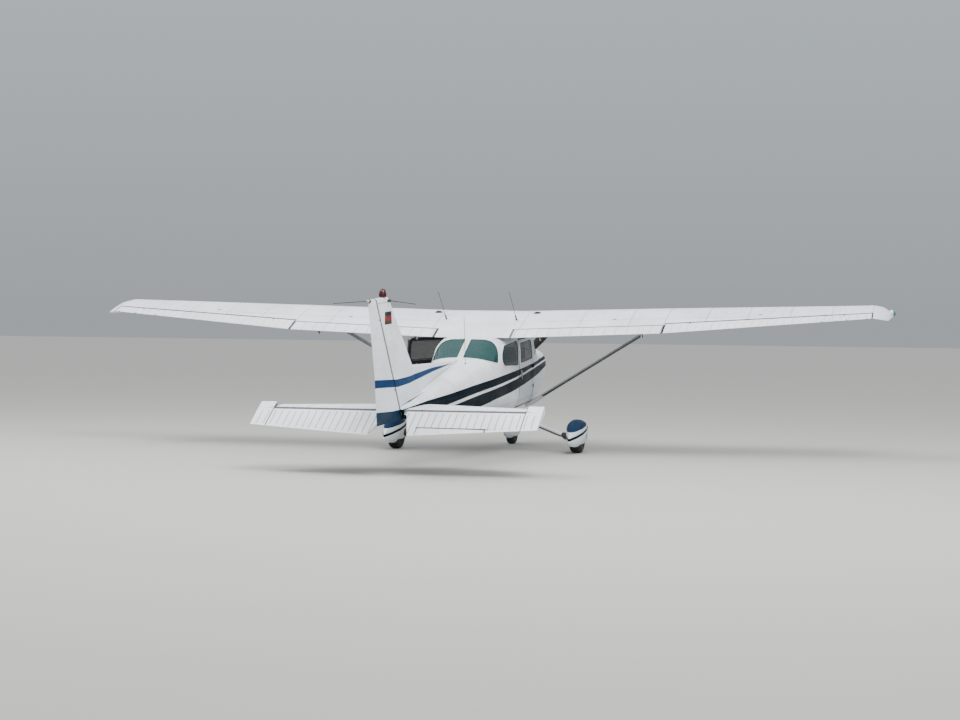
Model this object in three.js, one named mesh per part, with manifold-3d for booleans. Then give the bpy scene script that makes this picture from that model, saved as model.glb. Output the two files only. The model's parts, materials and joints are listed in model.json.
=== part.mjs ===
// A four-seat light aircraft: strut-braced high wing, swept tail, fixed tricycle gear.
// Millimetres. The row's frame has the nose towards -Y, the left wing towards +X and the ground at Z 0.
// The airframe is drawn in its own level frame: x across, y the station aft of the firewall, z up.
// That frame leans nose up about the main wheels' contact, as the aircraft stands on its gear.

import * as THREE from 'three';
import { mergeVertices } from 'three/addons/utils/BufferGeometryUtils.js';
import Module from 'manifold-3d';

const wasm = await Module();
wasm.setup();

// Stance
const ATTITUDE = THREE.MathUtils.degToRad(2.93);
const MAIN_WHEEL_STATION = 1470;
const FORE_AFT_MIDDLE = 1625.5;
const FIT = 0.4;
const SHORTEST_EDGE = 0.03;
const MOVING_GAP = 7;

// Undercarriage
const MAIN_TYRE = { radius: 218, halfWidth: 80, rim: 84 };
const NOSE_TYRE = { radius: 178, halfWidth: 62, rim: 66 };
const MAIN_WHEEL_X = 1285;
const NOSE_WHEEL_Y = -1660;
const AXLE_RADIUS = 15;
const AXLE_SIDES = 16;
const AXLE_PLAY = 0.7;
const WHEEL_SEGMENTS = 24;

// Wing
const WING = {
  rootX: 510.5, kinkX: 2560, endX: 5273, leading: 665, chord: 1635, tipLeading: 830, tipChord: 1120,
  rootTrail: 1616, kinkTrail: 1701, endTrail: 1907, rootTwist: 6.2, kinkTwist: 4.8, tipTwist: 1.0,
  thickness: 0.15, camber: 0.035, hinge: 0.805,
};
const FLAP = {
  inX: 530, outX: 2562, topStation: 2026, lowStation: 1905, topHeight: 1720, lowHeight: 1600,
  pivotStation: 1900, pivotHeight: 1556,
};
const AILERON = { inX: 2580, outX: 5262 };
const CONTROL_SPLIT_X = 2572;

// Strut
const STRUT = { lower: [500, 672, 622], upper: [2215, 1122, 1668], chord: 125, thickness: 46 };

// Propeller
const THRUST_HEIGHT = 1092;
const PROPELLER = { radius: 952, station: -905, angle: THREE.MathUtils.degToRad(41) };
const SPINNER = { tip: -1090, base: -822, radius: 165, plate: 6 };
const SHAFT_RADIUS = 46;

// Tail
const ELEVATOR_HINGE = { station: 5880, height: 945 };
const ELEVATOR_DROOP = THREE.MathUtils.degToRad(23);
const TAILPLANE = { halfSpan: 1527, hornHalfSpan: 1728, rootLeading: 4950, tipLeading: 5420 };
const TAILPLANE_THICKNESS = 84;
const RUDDER_HINGE = { low: [5900, 865], high: [6835, 2250] };
const FIN_TOP = 2318;

// Doors
const DOOR = {
  front: 748, rear: 1655, bottom: 628, top: 1560, lean: 70, innermost: 425,
  stoodOpen: THREE.MathUtils.degToRad(43.5),
};
const BAGGAGE_INNERMOST = 385;
const DOOR_HINGE_X = 524;
const WALL = 26;
const TAILCONE = { skin: 12, spaceEnd: 5540 };
const GLASS = 6;
const HULL_POINTS = 32;
const FOIL_POINTS = 13;

const PAINT = new THREE.Color('#e9edf0');
const NAVY = new THREE.Color('#1f4468');
const RUBBER = new THREE.Color('#1b1b1c');
const GLASS_TINT = new THREE.Color('#4d6660');
const TRIM = new THREE.Color('#4a4a48');

// Solids

/** Turns a closed geometry into a solid that can be joined and cut. */
function solid(geometry) {
  const bare = geometry.clone();
  bare.deleteAttribute('normal');
  bare.deleteAttribute('uv');
  const merged = mergeVertices(bare, 1e-3);
  const build = (triVerts) => new wasm.Manifold(new wasm.Mesh({
    numProp: 3,
    vertProperties: new Float32Array(merged.attributes.position.array),
    triVerts,
  }));
  const faces = new Uint32Array(merged.index.array);
  const body = build(faces);
  return body.volume() > 0 ? body : build(faces.slice().reverse());
}

/** Gives a solid's surface back as a geometry. */
function surface(body) {
  const mesh = body.simplify(SHORTEST_EDGE).getMesh();
  const geometry = new THREE.BufferGeometry();
  geometry.setAttribute('position', new THREE.BufferAttribute(mesh.vertProperties, 3));
  geometry.setIndex(new THREE.BufferAttribute(mesh.triVerts, 1));
  geometry.computeVertexNormals();
  return geometry;
}

/** A solid through rings of equally many points, where point i faces point n - i across the ring. */
function loft(rings) {
  const count = rings[0].length;
  const half = count / 2;
  const faces = [];
  const quad = (a, b, c, d) => faces.push(a, b, c, a, c, d);
  for (let r = 0; r + 1 < rings.length; r += 1) {
    for (let i = 0; i < count; i += 1) {
      const next = (i + 1) % count;
      quad(r * count + i, r * count + next, (r + 1) * count + next, (r + 1) * count + i);
    }
  }
  const cap = (base, turned) => {
    const add = (a, b, c) => (turned ? faces.push(base + a, base + b, base + c)
      : faces.push(base + a, base + c, base + b));
    add(0, 1, count - 1);
    for (let i = 1; i < half - 1; i += 1) {
      add(i, i + 1, count - i - 1);
      add(i, count - i - 1, count - i);
    }
    add(half - 1, half, half + 1);
  };
  cap(0, false);
  cap((rings.length - 1) * count, true);
  const geometry = new THREE.BufferGeometry();
  geometry.setAttribute('position', new THREE.Float32BufferAttribute(rings.flat().flatMap((p) => p.toArray()), 3));
  geometry.setIndex(faces);
  return solid(geometry);
}

/** The same solid on the aircraft's other side. */
function mirrored(body) {
  return body.mirror([1, 0, 0]);
}

function box(width, length, height, x, y, z) {
  return solid(new THREE.BoxGeometry(width, length, height).translate(x, y, z));
}

/** A closed outline with its corners rounded. */
function outline(points, radius = 0) {
  const shape = new THREE.Shape();
  const corners = points.map(([u, v]) => new THREE.Vector2(u, v));
  corners.forEach((corner, i) => {
    const before = corners[(i + corners.length - 1) % corners.length];
    const after = corners[(i + 1) % corners.length];
    const back = before.clone().sub(corner);
    const ahead = after.clone().sub(corner);
    const reach = Math.min(radius, back.length() / 2.2, ahead.length() / 2.2);
    const start = corner.clone().addScaledVector(back.normalize(), reach);
    const end = corner.clone().addScaledVector(ahead.normalize(), reach);
    if (i === 0) {
      shape.moveTo(start.x, start.y);
    } else {
      shape.lineTo(start.x, start.y);
    }
    if (reach > 0) {
      shape.quadraticCurveTo(corner.x, corner.y, end.x, end.y);
    }
  });
  shape.closePath();
  return shape;
}

const SIDE_VIEW = new THREE.Matrix4().makeBasis(
  new THREE.Vector3(0, 1, 0), new THREE.Vector3(0, 0, 1), new THREE.Vector3(1, 0, 0),
);

/** A slab seen from the side: points are [station, height], and it spans fromX to toX. */
function sideSlab(points, fromX, toX, radius = 0) {
  const geometry = new THREE.ExtrudeGeometry(outline(points, radius), {
    depth: toX - fromX, bevelEnabled: false, curveSegments: 3,
  });
  return solid(geometry.translate(0, 0, fromX).applyMatrix4(SIDE_VIEW));
}

/** A slab seen from above: points are [x, station], and it spans fromZ to toZ. */
function planSlab(points, fromZ, toZ, radius = 0) {
  const geometry = new THREE.ExtrudeGeometry(outline(points, radius), {
    depth: toZ - fromZ, bevelEnabled: false, curveSegments: 3,
  });
  return solid(geometry.translate(0, 0, fromZ));
}

/** A round bar, tapered if its radii differ, from one point to another. */
function bar(from, to, fromRadius, toRadius = fromRadius, segments = 16) {
  const start = new THREE.Vector3(...from);
  const end = new THREE.Vector3(...to);
  const along = end.clone().sub(start);
  const geometry = new THREE.CylinderGeometry(toRadius, fromRadius, along.length(), segments);
  geometry.applyQuaternion(new THREE.Quaternion().setFromUnitVectors(
    new THREE.Vector3(0, 1, 0), along.clone().normalize(),
  ));
  return solid(geometry.translate(...start.add(end).multiplyScalar(0.5).toArray()));
}

/** A solid turned about the x axis through a point of the side view. */
function turnedAboutX(body, angle, station, height) {
  return body.translate([0, -station, -height])
    .rotate([THREE.MathUtils.radToDeg(angle), 0, 0])
    .translate([0, station, height]);
}

// Hinges

const HINGE = { lugWidth: 12, slotWidth: 26, pin: 6, play: 0.85, eye: 13, sides: 8 };
const NOSE_SIDES = 12;

/** A disc about a hinge line: its middle, the line's direction, its radius and its width. */
function disc(middle, direction, radius, width, sides = HINGE.sides) {
  const at = new THREE.Vector3(...middle);
  const half = new THREE.Vector3(...direction).normalize().multiplyScalar(width / 2);
  return bar(at.clone().sub(half).toArray(), at.clone().add(half).toArray(), radius, radius, sides);
}

/** Cuts a slot for each lug into a moving piece and bridges it with a pin. */
function pinned(body, middles, direction, noseRadius) {
  return middles.reduce((result, middle) => result
    .subtract(disc(middle, direction, noseRadius, HINGE.slotWidth, NOSE_SIDES))
    .add(disc(middle, direction, HINGE.pin, HINGE.slotWidth + 2)), body);
}

/** Adds a lug for each pin to the fixed piece: an arm from a root point to an eye round the pin. */
function lugged(body, middles, direction, rootOf) {
  return middles.reduce((result, middle) => {
    const arm = lugArm(middle, rootOf(middle), direction);
    return result.add(arm.add(disc(middle, direction, HINGE.eye, HINGE.lugWidth))
      .subtract(disc(middle, direction, HINGE.pin + HINGE.play, HINGE.lugWidth + 4)));
  }, body);
}

/** A flat arm as wide as a lug, from the hinge line to its root. */
function lugArm(middle, root, direction) {
  const at = new THREE.Vector3(...middle);
  const along = new THREE.Vector3(...root).sub(at);
  const width = new THREE.Vector3(...direction).normalize();
  const depth = width.clone().cross(along.clone().normalize()).normalize();
  const geometry = new THREE.BoxGeometry(HINGE.lugWidth, along.length(), 2 * HINGE.eye - 6);
  const basis = new THREE.Matrix4().makeBasis(width, along.clone().normalize(), depth);
  geometry.applyMatrix4(basis);
  return solid(geometry.translate(...at.addScaledVector(along, 0.5).toArray()));
}

// Hull sections

/** One ring of the hull: rounded above and below its widest height by its two powers. */
function hullRing(section, grow = 0) {
  const { station, half, top, bottom, middle, topPower, bottomPower } = section;
  return Array.from({ length: HULL_POINTS }, (_, i) => {
    const angle = Math.PI / 2 + (2 * Math.PI * i) / HULL_POINTS;
    const across = Math.cos(angle);
    const up = Math.sin(angle);
    const power = up >= 0 ? topPower : bottomPower;
    const rise = up >= 0 ? top + grow - middle : middle - bottom + grow;
    return new THREE.Vector3(
      Math.sign(across) * (half + grow) * Math.abs(across) ** (2 / power),
      station,
      middle + Math.sign(up) * rise * Math.abs(up) ** (2 / power),
    );
  });
}

const HULL_COLUMNS = ['station', 'half', 'top', 'bottom', 'middle', 'topPower', 'bottomPower'];

function table(columns, rows) {
  return rows.map((row) => Object.fromEntries(columns.map((name, i) => [name, row[i]])));
}

const COWL_SECTIONS = table(HULL_COLUMNS, [
  [-812, 320, 1240, 850, 1060, 2.6, 2.4],
  [-770, 372, 1272, 806, 1050, 2.7, 2.5],
  [-640, 414, 1300, 752, 1040, 2.8, 2.7],
  [-330, 444, 1334, 682, 1020, 3.0, 3.2],
  [-FIT, 470, 1360, 622, 1005, 3.0, 4.2],
]);

const CABIN_SECTIONS = table(HULL_COLUMNS, [
  [0, 470, 1360, 620, 1005, 3.0, 4.2],
  [190, 488, 1380, 590, 1005, 3.0, 4.8],
  [700, 514, 1786, 562, 1005, 4.6, 5.0],
  [1300, 526, 1790, 560, 1005, 5.4, 5.0],
  [1900, 518, 1690, 562, 1005, 5.4, 4.6],
  [2420, 484, 1614, 602, 1002, 4.6, 3.8],
  [2680, 466, 1500, 622, 1000, 3.4, 3.4],
  [2950, 446, 1368, 644, 998, 2.8, 3.2],
]);

const TAILCONE_SECTIONS = table(HULL_COLUMNS, [
  [2950 + FIT, 446, 1368, 644, 998, 2.8, 3.2],
  [4000, 330, 1256, 726, 985, 2.5, 2.8],
  [5000, 206, 1140, 792, 962, 2.3, 2.5],
  [5600, 128, 1072, 834, 950, 2.2, 2.3],
  [6080, 58, 1020, 866, 942, 2.2, 2.2],
]);

function hull(sections, grow = 0) {
  return loft(sections.map((section) => hullRing(section, grow)));
}

// Aerofoils

/** Heights above and below the chord line at a fraction of the chord, for a thickness and a camber. */
function foil(fraction, thickness, camber) {
  const spread = 5 * thickness * (0.2969 * Math.sqrt(fraction) - 0.126 * fraction
    - 0.3516 * fraction ** 2 + 0.2843 * fraction ** 3 - 0.1015 * fraction ** 4);
  const crest = 0.4;
  const bow = fraction < crest
    ? (camber / crest ** 2) * (2 * crest * fraction - fraction ** 2)
    : (camber / (1 - crest) ** 2) * (1 - 2 * crest + 2 * crest * fraction - fraction ** 2);
  return [bow + spread, bow - spread];
}

/** A foil's ring as [along, up] pairs from the trailing edge over the top and back underneath. */
function foilOutline(chord, thickness, camber, grow = 0) {
  const fractions = Array.from({ length: FOIL_POINTS + 1 }, (_, i) => (
    (1 + Math.cos((Math.PI * i) / FOIL_POINTS)) / 2
  ));
  const upper = fractions.map((f) => [f * chord, foil(f, thickness, camber)[0] * chord]);
  const lower = fractions.map((f) => [f * chord, foil(f, thickness, camber)[1] * chord]);
  const ring = [[chord + grow, (upper[0][1] + lower[0][1]) / 2]];
  for (let i = 0; i < FOIL_POINTS; i += 1) {
    ring.push([upper[i][0] + (i === 0 ? grow : 0), upper[i][1] + grow]);
  }
  ring.push([-grow, upper[FOIL_POINTS][1]]);
  for (let i = FOIL_POINTS - 1; i >= 0; i -= 1) {
    ring.push([lower[i][0] + (i === 0 ? grow : 0), lower[i][1] - grow]);
  }
  return ring;
}

/** A wing ring at x: the foil turned by its twist, its trailing edge at the height of trail. */
function wingRing(section, grow = 0) {
  const { x, leading, chord, trail, twist, thickness, camber } = section;
  const angle = THREE.MathUtils.degToRad(twist);
  const height = trail + chord * Math.sin(angle);
  return foilOutline(chord, thickness, camber, grow).map(([along, up]) => new THREE.Vector3(
    x,
    leading + along * Math.cos(angle) + up * Math.sin(angle),
    height - along * Math.sin(angle) + up * Math.cos(angle),
  ));
}

const WING_COLUMNS = ['x', 'leading', 'chord', 'trail', 'twist', 'thickness', 'camber'];

const WING_SECTIONS = table(WING_COLUMNS, [
  [WING.rootX, WING.leading, WING.chord, WING.rootTrail, WING.rootTwist, WING.thickness, WING.camber],
  [WING.kinkX, WING.leading, WING.chord, WING.kinkTrail, WING.kinkTwist, WING.thickness, WING.camber],
  [WING.endX, WING.tipLeading, WING.tipChord, WING.endTrail, WING.tipTwist, WING.thickness, WING.camber],
]);

const TIP_SECTIONS = table(WING_COLUMNS, [
  [WING.endX + FIT, WING.tipLeading, WING.tipChord, WING.endTrail, WING.tipTwist, WING.thickness, WING.camber],
  [5380, 850, 1040, 1888, 1.4, 0.15, 0.035],
  [5458, 915, 740, 1860, 2.6, 0.15, 0.035],
  [5497, 1010, 400, 1893, 3.0, 0.11, 0.03],
]);

const CENTRE_SECTIONS = table(WING_COLUMNS, [
  [-WING.rootX + FIT, WING.leading, WING.chord, WING.rootTrail, WING.rootTwist, WING.thickness, WING.camber],
  [WING.rootX - FIT, WING.leading, WING.chord, WING.rootTrail, WING.rootTwist, WING.thickness, WING.camber],
]);

function wing(sections, grow = 0) {
  return loft(sections.map((section) => wingRing(section, grow)));
}

/** The wing's own values at x, between its tabled sections. */
function wingAt(x) {
  const outer = x > WING.kinkX ? 2 : 1;
  const from = WING_SECTIONS[outer - 1];
  const to = WING_SECTIONS[outer];
  const share = (x - from.x) / (to.x - from.x);
  return Object.fromEntries(WING_COLUMNS.map((name) => [name, from[name] + (to[name] - from[name]) * share]));
}

/** The aileron hinge's point and the wing's half thickness there. */
function aileronHinge(x) {
  const at = wingAt(x);
  const [upper, lower] = foil(WING.hinge, at.thickness, at.camber);
  const along = WING.hinge * at.chord;
  const up = ((upper + lower) / 2) * at.chord;
  const angle = THREE.MathUtils.degToRad(at.twist);
  return {
    point: [
      x,
      at.leading + along * Math.cos(angle) + up * Math.sin(angle),
      at.trail + (at.chord - along) * Math.sin(angle) + up * Math.cos(angle),
    ],
    radius: ((upper - lower) / 2) * at.chord,
  };
}

// Openings, as [station, height] outlines

const WINDSHIELD = [[96, 1392], [618, 1268], [672, 1500], [684, 1800], [60, 1800]];
const REAR_WINDOW = [
  [2640, 1292], [2846, 1338], [2926, 1378], [3060, 1800], [2440, 1800], [2440, 1602], [2480, 1530], [2514, 1470],
];
const DOOR_OUTLINE = [
  [DOOR.front, DOOR.bottom], [DOOR.rear, DOOR.bottom - 4], [DOOR.rear, DOOR.top - 4],
  [DOOR.front + DOOR.lean, DOOR.top], [DOOR.front, 1180],
];
const DOOR_WINDOW = [[800, 1238], [1604, 1226], [1604, 1512], [858, 1516]];
const SIDE_WINDOW = [[1716, 1206], [2400, 1244], [2484, 1288], [2490, 1362], [2430, 1440], [2300, 1514], [1716, 1556]];
const BAGGAGE_DOOR = [[2030, 664], [2416, 690], [2416, 1204], [2030, 1204]];

/** An outline with each edge moved inwards by a gap. */
function inset(points, gap) {
  const corners = points.map(([u, v]) => new THREE.Vector2(u, v));
  const turn = Math.sign(THREE.ShapeUtils.area(corners));
  const count = corners.length;
  const edges = corners.map((corner, i) => {
    const along = corners[(i + 1) % count].clone().sub(corner).normalize();
    const inward = new THREE.Vector2(-along.y, along.x).multiplyScalar(turn * gap);
    return { along, start: corner.clone().add(inward) };
  });
  return edges.map((edge, i) => {
    const before = edges[(i + count - 1) % count];
    const reach = edge.start.clone().sub(before.start).cross(edge.along) / before.along.cross(edge.along);
    const corner = before.start.clone().addScaledVector(before.along, reach);
    return [corner.x, corner.y];
  });
}

const skin = hull(CABIN_SECTIONS);
const glassLine = hull(CABIN_SECTIONS, -GLASS);
const liningSections = CABIN_SECTIONS.map((section, i) => ({
  ...section,
  station: i === 0 ? WALL : Math.min(section.station, 2950 - WALL),
  top: Math.min(section.top - WALL, 1606),
  half: section.half - WALL,
  bottom: section.bottom + 2 * WALL,
}));
const FLOOR_HEIGHT = 640;
const BAGGAGE_FLOOR = { front: 2352, rear: 2888, width: 640, height: 704 };

/** The hollow inside the cabin, down to its flat floor. */
function cabinSpace(grow = 0) {
  return hull(liningSections, grow).subtract(box(1400, 4000, 400, 0, 1500, FLOOR_HEIGHT - grow - 200));
}

const lining = cabinSpace();
const leftSide = box(600, 4000, 2400, 320, 1500, 1200);
const wallGlass = skin.subtract(glassLine);
const wall = skin.subtract(lining);

const DOOR_HINGE = { x: DOOR_HINGE_X, station: DOOR.front + 4, heights: [860, 1150] };
const BAGGAGE_HINGE = { x: 520, station: 2034, heights: [780, 1080] };
const KNUCKLE = { radius: 9, length: 34, pin: 4, play: 0.75, reach: 34, inward: 24 };

/** A hinge's upright knuckle with a plate that reaches fore or aft to the skin. */
function knuckle(hinge, height, length, reach) {
  const plate = box(KNUCKLE.inward, Math.abs(reach), length, hinge.x - KNUCKLE.inward / 2, hinge.station + reach / 2, height);
  return bar([hinge.x, hinge.station, height - length / 2], [hinge.x, hinge.station, height + length / 2],
    KNUCKLE.radius, KNUCKLE.radius, 10).add(plate);
}

/** The cabin's side of a hinge: bored knuckles ahead of the door's edge. */
function fixedKnuckles(hinge) {
  const { radius, length, pin, play, reach } = KNUCKLE;
  return hinge.heights.map((height) => knuckle(hinge, height, length, -reach)
    .subtract(bar([hinge.x, hinge.station, height - length], [hinge.x, hinge.station, height + length],
      pin + play, pin + play, HINGE.sides))
    .subtract(box(60, 2 * radius + 2, 2 * length, hinge.x - 40, hinge.station + radius, height)));
}

/** The door's side: knuckles above and below each fixed one, joined by the pin. */
function movingKnuckles(hinge) {
  const { length, pin, reach } = KNUCKLE;
  const short = length * 0.6;
  const offset = (length + short) / 2 + FIT;
  return hinge.heights.map((height) => knuckle(hinge, height - offset, short, reach)
    .add(knuckle(hinge, height + offset, short, reach))
    .add(bar([hinge.x, hinge.station, height - offset], [hinge.x, hinge.station, height + offset], pin, pin, HINGE.sides)));
}

/** The round hollow in the skin beside a hinge's knuckles. */
function knuckleRoom(hinge) {
  const { radius, length } = KNUCKLE;
  return hinge.heights
    .map((height) => bar([hinge.x, hinge.station, height - 1.5 * length], [hinge.x, hinge.station, height + 1.5 * length],
      radius + 4, radius + 4, 10))
    .reduce((whole, piece) => whole.add(piece));
}

/** A cut through the left side wall, inset by a gap. It starts at the innermost x that the piece reaches. */
function sideCut(points, gap, radius, innermost = 200) {
  return sideSlab(inset(points, gap), innermost + gap, 700, radius);
}

function cabin() {
  const roof = wing(CENTRE_SECTIONS).subtract(box(1400, 200, 600, 0, 590, 1700));
  const cuts = [
    sideCut(DOOR_OUTLINE, 0, 45, DOOR.innermost),
    sideCut(SIDE_WINDOW, 0, 45),
    sideCut(BAGGAGE_DOOR, 0, 30, BAGGAGE_INNERMOST),
  ];
  let body = skin.add(roof).subtract(lining);
  body = body.subtract(sideSlab(WINDSHIELD, -700, 700, 20));
  rearPanes(0).forEach((pane) => {
    body = body.subtract(pane);
  });
  body = body.subtract(cuts[0]).subtract(mirrored(cuts[0]));
  body = body.subtract(cuts[1]).subtract(mirrored(cuts[1]));
  body = body.subtract(cuts[2]);
  body = body.add(baggageFloor());
  const doorKnuckles = fixedKnuckles(DOOR_HINGE);
  body = body.subtract(knuckleRoom(DOOR_HINGE)).subtract(mirrored(knuckleRoom(DOOR_HINGE)))
    .subtract(knuckleRoom(BAGGAGE_HINGE));
  return [...doorKnuckles, ...doorKnuckles.map(mirrored), ...fixedKnuckles(BAGGAGE_HINGE)]
    .reduce((whole, piece) => whole.add(piece), body);
}

/** The raised flat floor behind the bench, down to the hull's own bottom. */
function baggageFloor() {
  const { front, rear, width, height } = BAGGAGE_FLOOR;
  const depth = height - FLOOR_HEIGHT + 60;
  return box(width, rear - front, depth, 0, (front + rear) / 2, height - depth / 2).intersect(glassLine);
}

/** The rear window's two openings, left and right of the centre strip. */
function rearPanes(gap) {
  const left = sideSlab(inset(REAR_WINDOW, gap), 34 + gap, 700, 30);
  return [left, mirrored(left)];
}

function windshield() {
  return wallGlass.intersect(sideSlab(inset(WINDSHIELD, FIT), -700, 700, 20))
    .subtract(box(1400, 400, 1600, 0, 882, 1200));
}

function rearPane(side) {
  return wallGlass.intersect(rearPanes(FIT)[side]);
}

function door() {
  const panel = wall.intersect(sideCut(DOOR_OUTLINE, MOVING_GAP, 45, DOOR.innermost))
    .subtract(sideCut(DOOR_WINDOW, 0, 50));
  return movingKnuckles(DOOR_HINGE).reduce((body, piece) => body.add(piece), panel);
}

function doorWindow() {
  return wallGlass.intersect(sideCut(DOOR_WINDOW, FIT, 50)).intersect(leftSide);
}

function sideWindow() {
  return wallGlass.intersect(sideCut(SIDE_WINDOW, FIT, 45)).intersect(leftSide);
}

function baggageDoor() {
  const panel = wall.intersect(sideCut(BAGGAGE_DOOR, MOVING_GAP, 30, BAGGAGE_INNERMOST));
  return movingKnuckles(BAGGAGE_HINGE).reduce((body, piece) => body.add(piece), panel);
}

// Power plant

function cowling() {
  const inside = COWL_SECTIONS.map((section, i) => ({
    ...section,
    station: i === 0 ? section.station + 14 : section.station + (i === COWL_SECTIONS.length - 1 ? 40 : 0),
  }));
  let body = hull(COWL_SECTIONS).subtract(hull(inside, -COWL_SKIN));
  const inlet = planInlet([[112, 1075], [286, 1062], [282, 1150], [200, 1186], [128, 1176]]);
  body = body.subtract(inlet).subtract(mirrored(inlet));
  body = body.subtract(planInlet([[-110, 872], [110, 872], [110, 912], [-110, 912]]));
  body = body.subtract(bar([0, -900, THRUST_HEIGHT], [0, -700, THRUST_HEIGHT], 62, 62, 24));
  body = body.subtract(bar(legPoint(500), legPoint(850), 64, 64, 20));
  body = body.subtract(bar(EXHAUST.low, EXHAUST.high, EXHAUST.radius + 8, EXHAUST.radius + 8, 16));
  return body;
}

/** A hole through the nose, drawn as [x, height] points. */
function planInlet(points) {
  const geometry = new THREE.ExtrudeGeometry(outline(points, 30), {
    depth: 130, bevelEnabled: false, curveSegments: 3,
  });
  geometry.rotateX(Math.PI / 2);
  return solid(geometry.translate(0, -730, 0));
}

const COWL_SKIN = 12;
const ENGINE = { width: 700, length: 570, height: 390, station: -375, middle: 1035, clear: 24 };
const EXHAUST = { low: [-170, -150, 560], high: [-170, -230, 880], bore: [-170, -180, 680], radius: 28 };

function exhaust() {
  return bar(EXHAUST.low, EXHAUST.high, EXHAUST.radius, EXHAUST.radius, 12)
    .subtract(bar([-170, -148, 552], EXHAUST.bore, EXHAUST.radius - 4, EXHAUST.radius - 4, 12))
    .subtract(engine(FIT));
}

/** The engine as one block, with the four tubes that carry it from the firewall. */
function engine(grow = 0) {
  const { width, length, height, station, middle } = ENGINE;
  let body = box(width + 2 * grow, length + 2 * grow, height + 2 * grow, 0, station, middle)
    .intersect(hull(COWL_SECTIONS, grow - COWL_SKIN - ENGINE.clear));
  for (const x of [-240, 240]) {
    for (const z of [middle - 120, middle + 120]) {
      body = body.add(bar([x, station, z], [x, -FIT, z], 12 + grow, 12 + grow, 8));
    }
  }
  return body;
}

/** One blade's rings: radius from the hub, chord, thickness and pitch. */
const BLADE_SECTIONS = table(['radius', 'chord', 'thickness', 'pitch'], [
  [40, 96, 44, 62],
  [190, 118, 30, 44],
  [430, 142, 19, 28],
  [720, 124, 12, 19],
  [900, 92, 8, 15],
  [PROPELLER.radius, 44, 5, 14],
]);

function blade() {
  return loft(BLADE_SECTIONS.map(({ radius, chord, thickness, pitch }) => {
    const angle = THREE.MathUtils.degToRad(pitch);
    return Array.from({ length: 12 }, (_, i) => {
      const turn = (2 * Math.PI * i) / 12;
      const along = (chord / 2) * Math.cos(turn);
      const up = (thickness / 2) * Math.sin(turn);
      return new THREE.Vector3(
        along * Math.cos(angle) - up * Math.sin(angle),
        along * Math.sin(angle) + up * Math.cos(angle),
        radius,
      );
    });
  }));
}

function propeller() {
  const engineFace = ENGINE.station - ENGINE.length / 2 - FIT - PROPELLER.station;
  const hub = bar([0, -52, 0], [0, 52, 0], 64, 64, 20)
    .add(bar([0, 40, 0], [0, engineFace, 0], SHAFT_RADIUS, SHAFT_RADIUS, 20));
  return hub.add(blade()).add(blade().rotate([0, 180, 0]));
}

/** The spinner's bullet, hollow round the hub, with a back plate and a slot for each blade. */
function spinner() {
  const length = SPINNER.base - SPINNER.tip;
  const curve = (radius, reach, steps) => Array.from({ length: steps + 1 }, (_, i) => {
    const turn = (Math.PI / 2) * (i / steps);
    return new THREE.Vector2(radius * Math.sin(turn), reach * Math.cos(turn));
  });
  const outside = curve(SPINNER.radius, length, 6);
  const inside = curve(SPINNER.radius - 8, length - 14, 5).reverse().map(({ x, y }) => (
    new THREE.Vector2(x, Math.max(y, SPINNER.plate))
  ));
  const bore = SHAFT_RADIUS + FIT;
  const plate = [new THREE.Vector2(bore, SPINNER.plate), new THREE.Vector2(bore, 0)];
  const bullet = new THREE.LatheGeometry([...outside, ...plate.reverse(), ...inside], 20);
  const shell = solid(bullet.rotateX(Math.PI).translate(0, SPINNER.base, 0));
  const slot = (z) => box(150, 120, 220, 0, PROPELLER.station, z);
  return shell.subtract(slot(135)).subtract(slot(-135));
}

// Tail

/** The tailplane and elevators as one foil across the span, before it is parted at the hinge. */
function tailplaneSections(halfSpan, grow = 0) {
  const ring = (x, leading, trailing) => {
    const chord = trailing - leading;
    const thickness = TAILPLANE_THICKNESS / chord;
    return foilOutline(chord, thickness, 0, grow)
      .map(([along, up]) => new THREE.Vector3(x, leading + along, ELEVATOR_HINGE.height + up));
  };
  const slope = (TAILPLANE.tipLeading - TAILPLANE.rootLeading) / TAILPLANE.halfSpan;
  const taper = (6470 - 6240) / TAILPLANE.hornHalfSpan;
  const tip = [halfSpan, TAILPLANE.rootLeading + slope * halfSpan, 6470 - taper * halfSpan];
  return [
    ring(-tip[0], tip[1], tip[2]),
    ring(0, TAILPLANE.rootLeading, 6470),
    ring(tip[0], tip[1], tip[2]),
  ];
}

const ELEVATOR_NOSE = 34;
const ELEVATOR_LUGS = [300, 1300];

function elevatorLug(x) {
  return [x, ELEVATOR_HINGE.station, ELEVATOR_HINGE.height];
}

function hingeBar(fromX, toX, radius) {
  const { station, height } = ELEVATOR_HINGE;
  return bar([fromX, station, height], [toX, station, height], radius, radius, NOSE_SIDES);
}

function stabilizer() {
  const fixed = loft(tailplaneSections(TAILPLANE.halfSpan));
  const aft = box(4000, 1000, 600, 0, ELEVATOR_HINGE.station + 500, ELEVATOR_HINGE.height);
  const panel = fixed.subtract(aft).subtract(hingeBar(-2000, 2000, ELEVATOR_NOSE + MOVING_GAP));
  const both = ELEVATOR_LUGS.flatMap((x) => [elevatorLug(x), elevatorLug(-x)]);
  return lugged(panel, both, [1, 0, 0], ([x, station, height]) => [x, station - 60, height]);
}

const TRIM_TAB = { inX: 312, outX: 1120, front: 6262, gap: 11, pin: 4, pinReach: 40, axis: 6281 };

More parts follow.
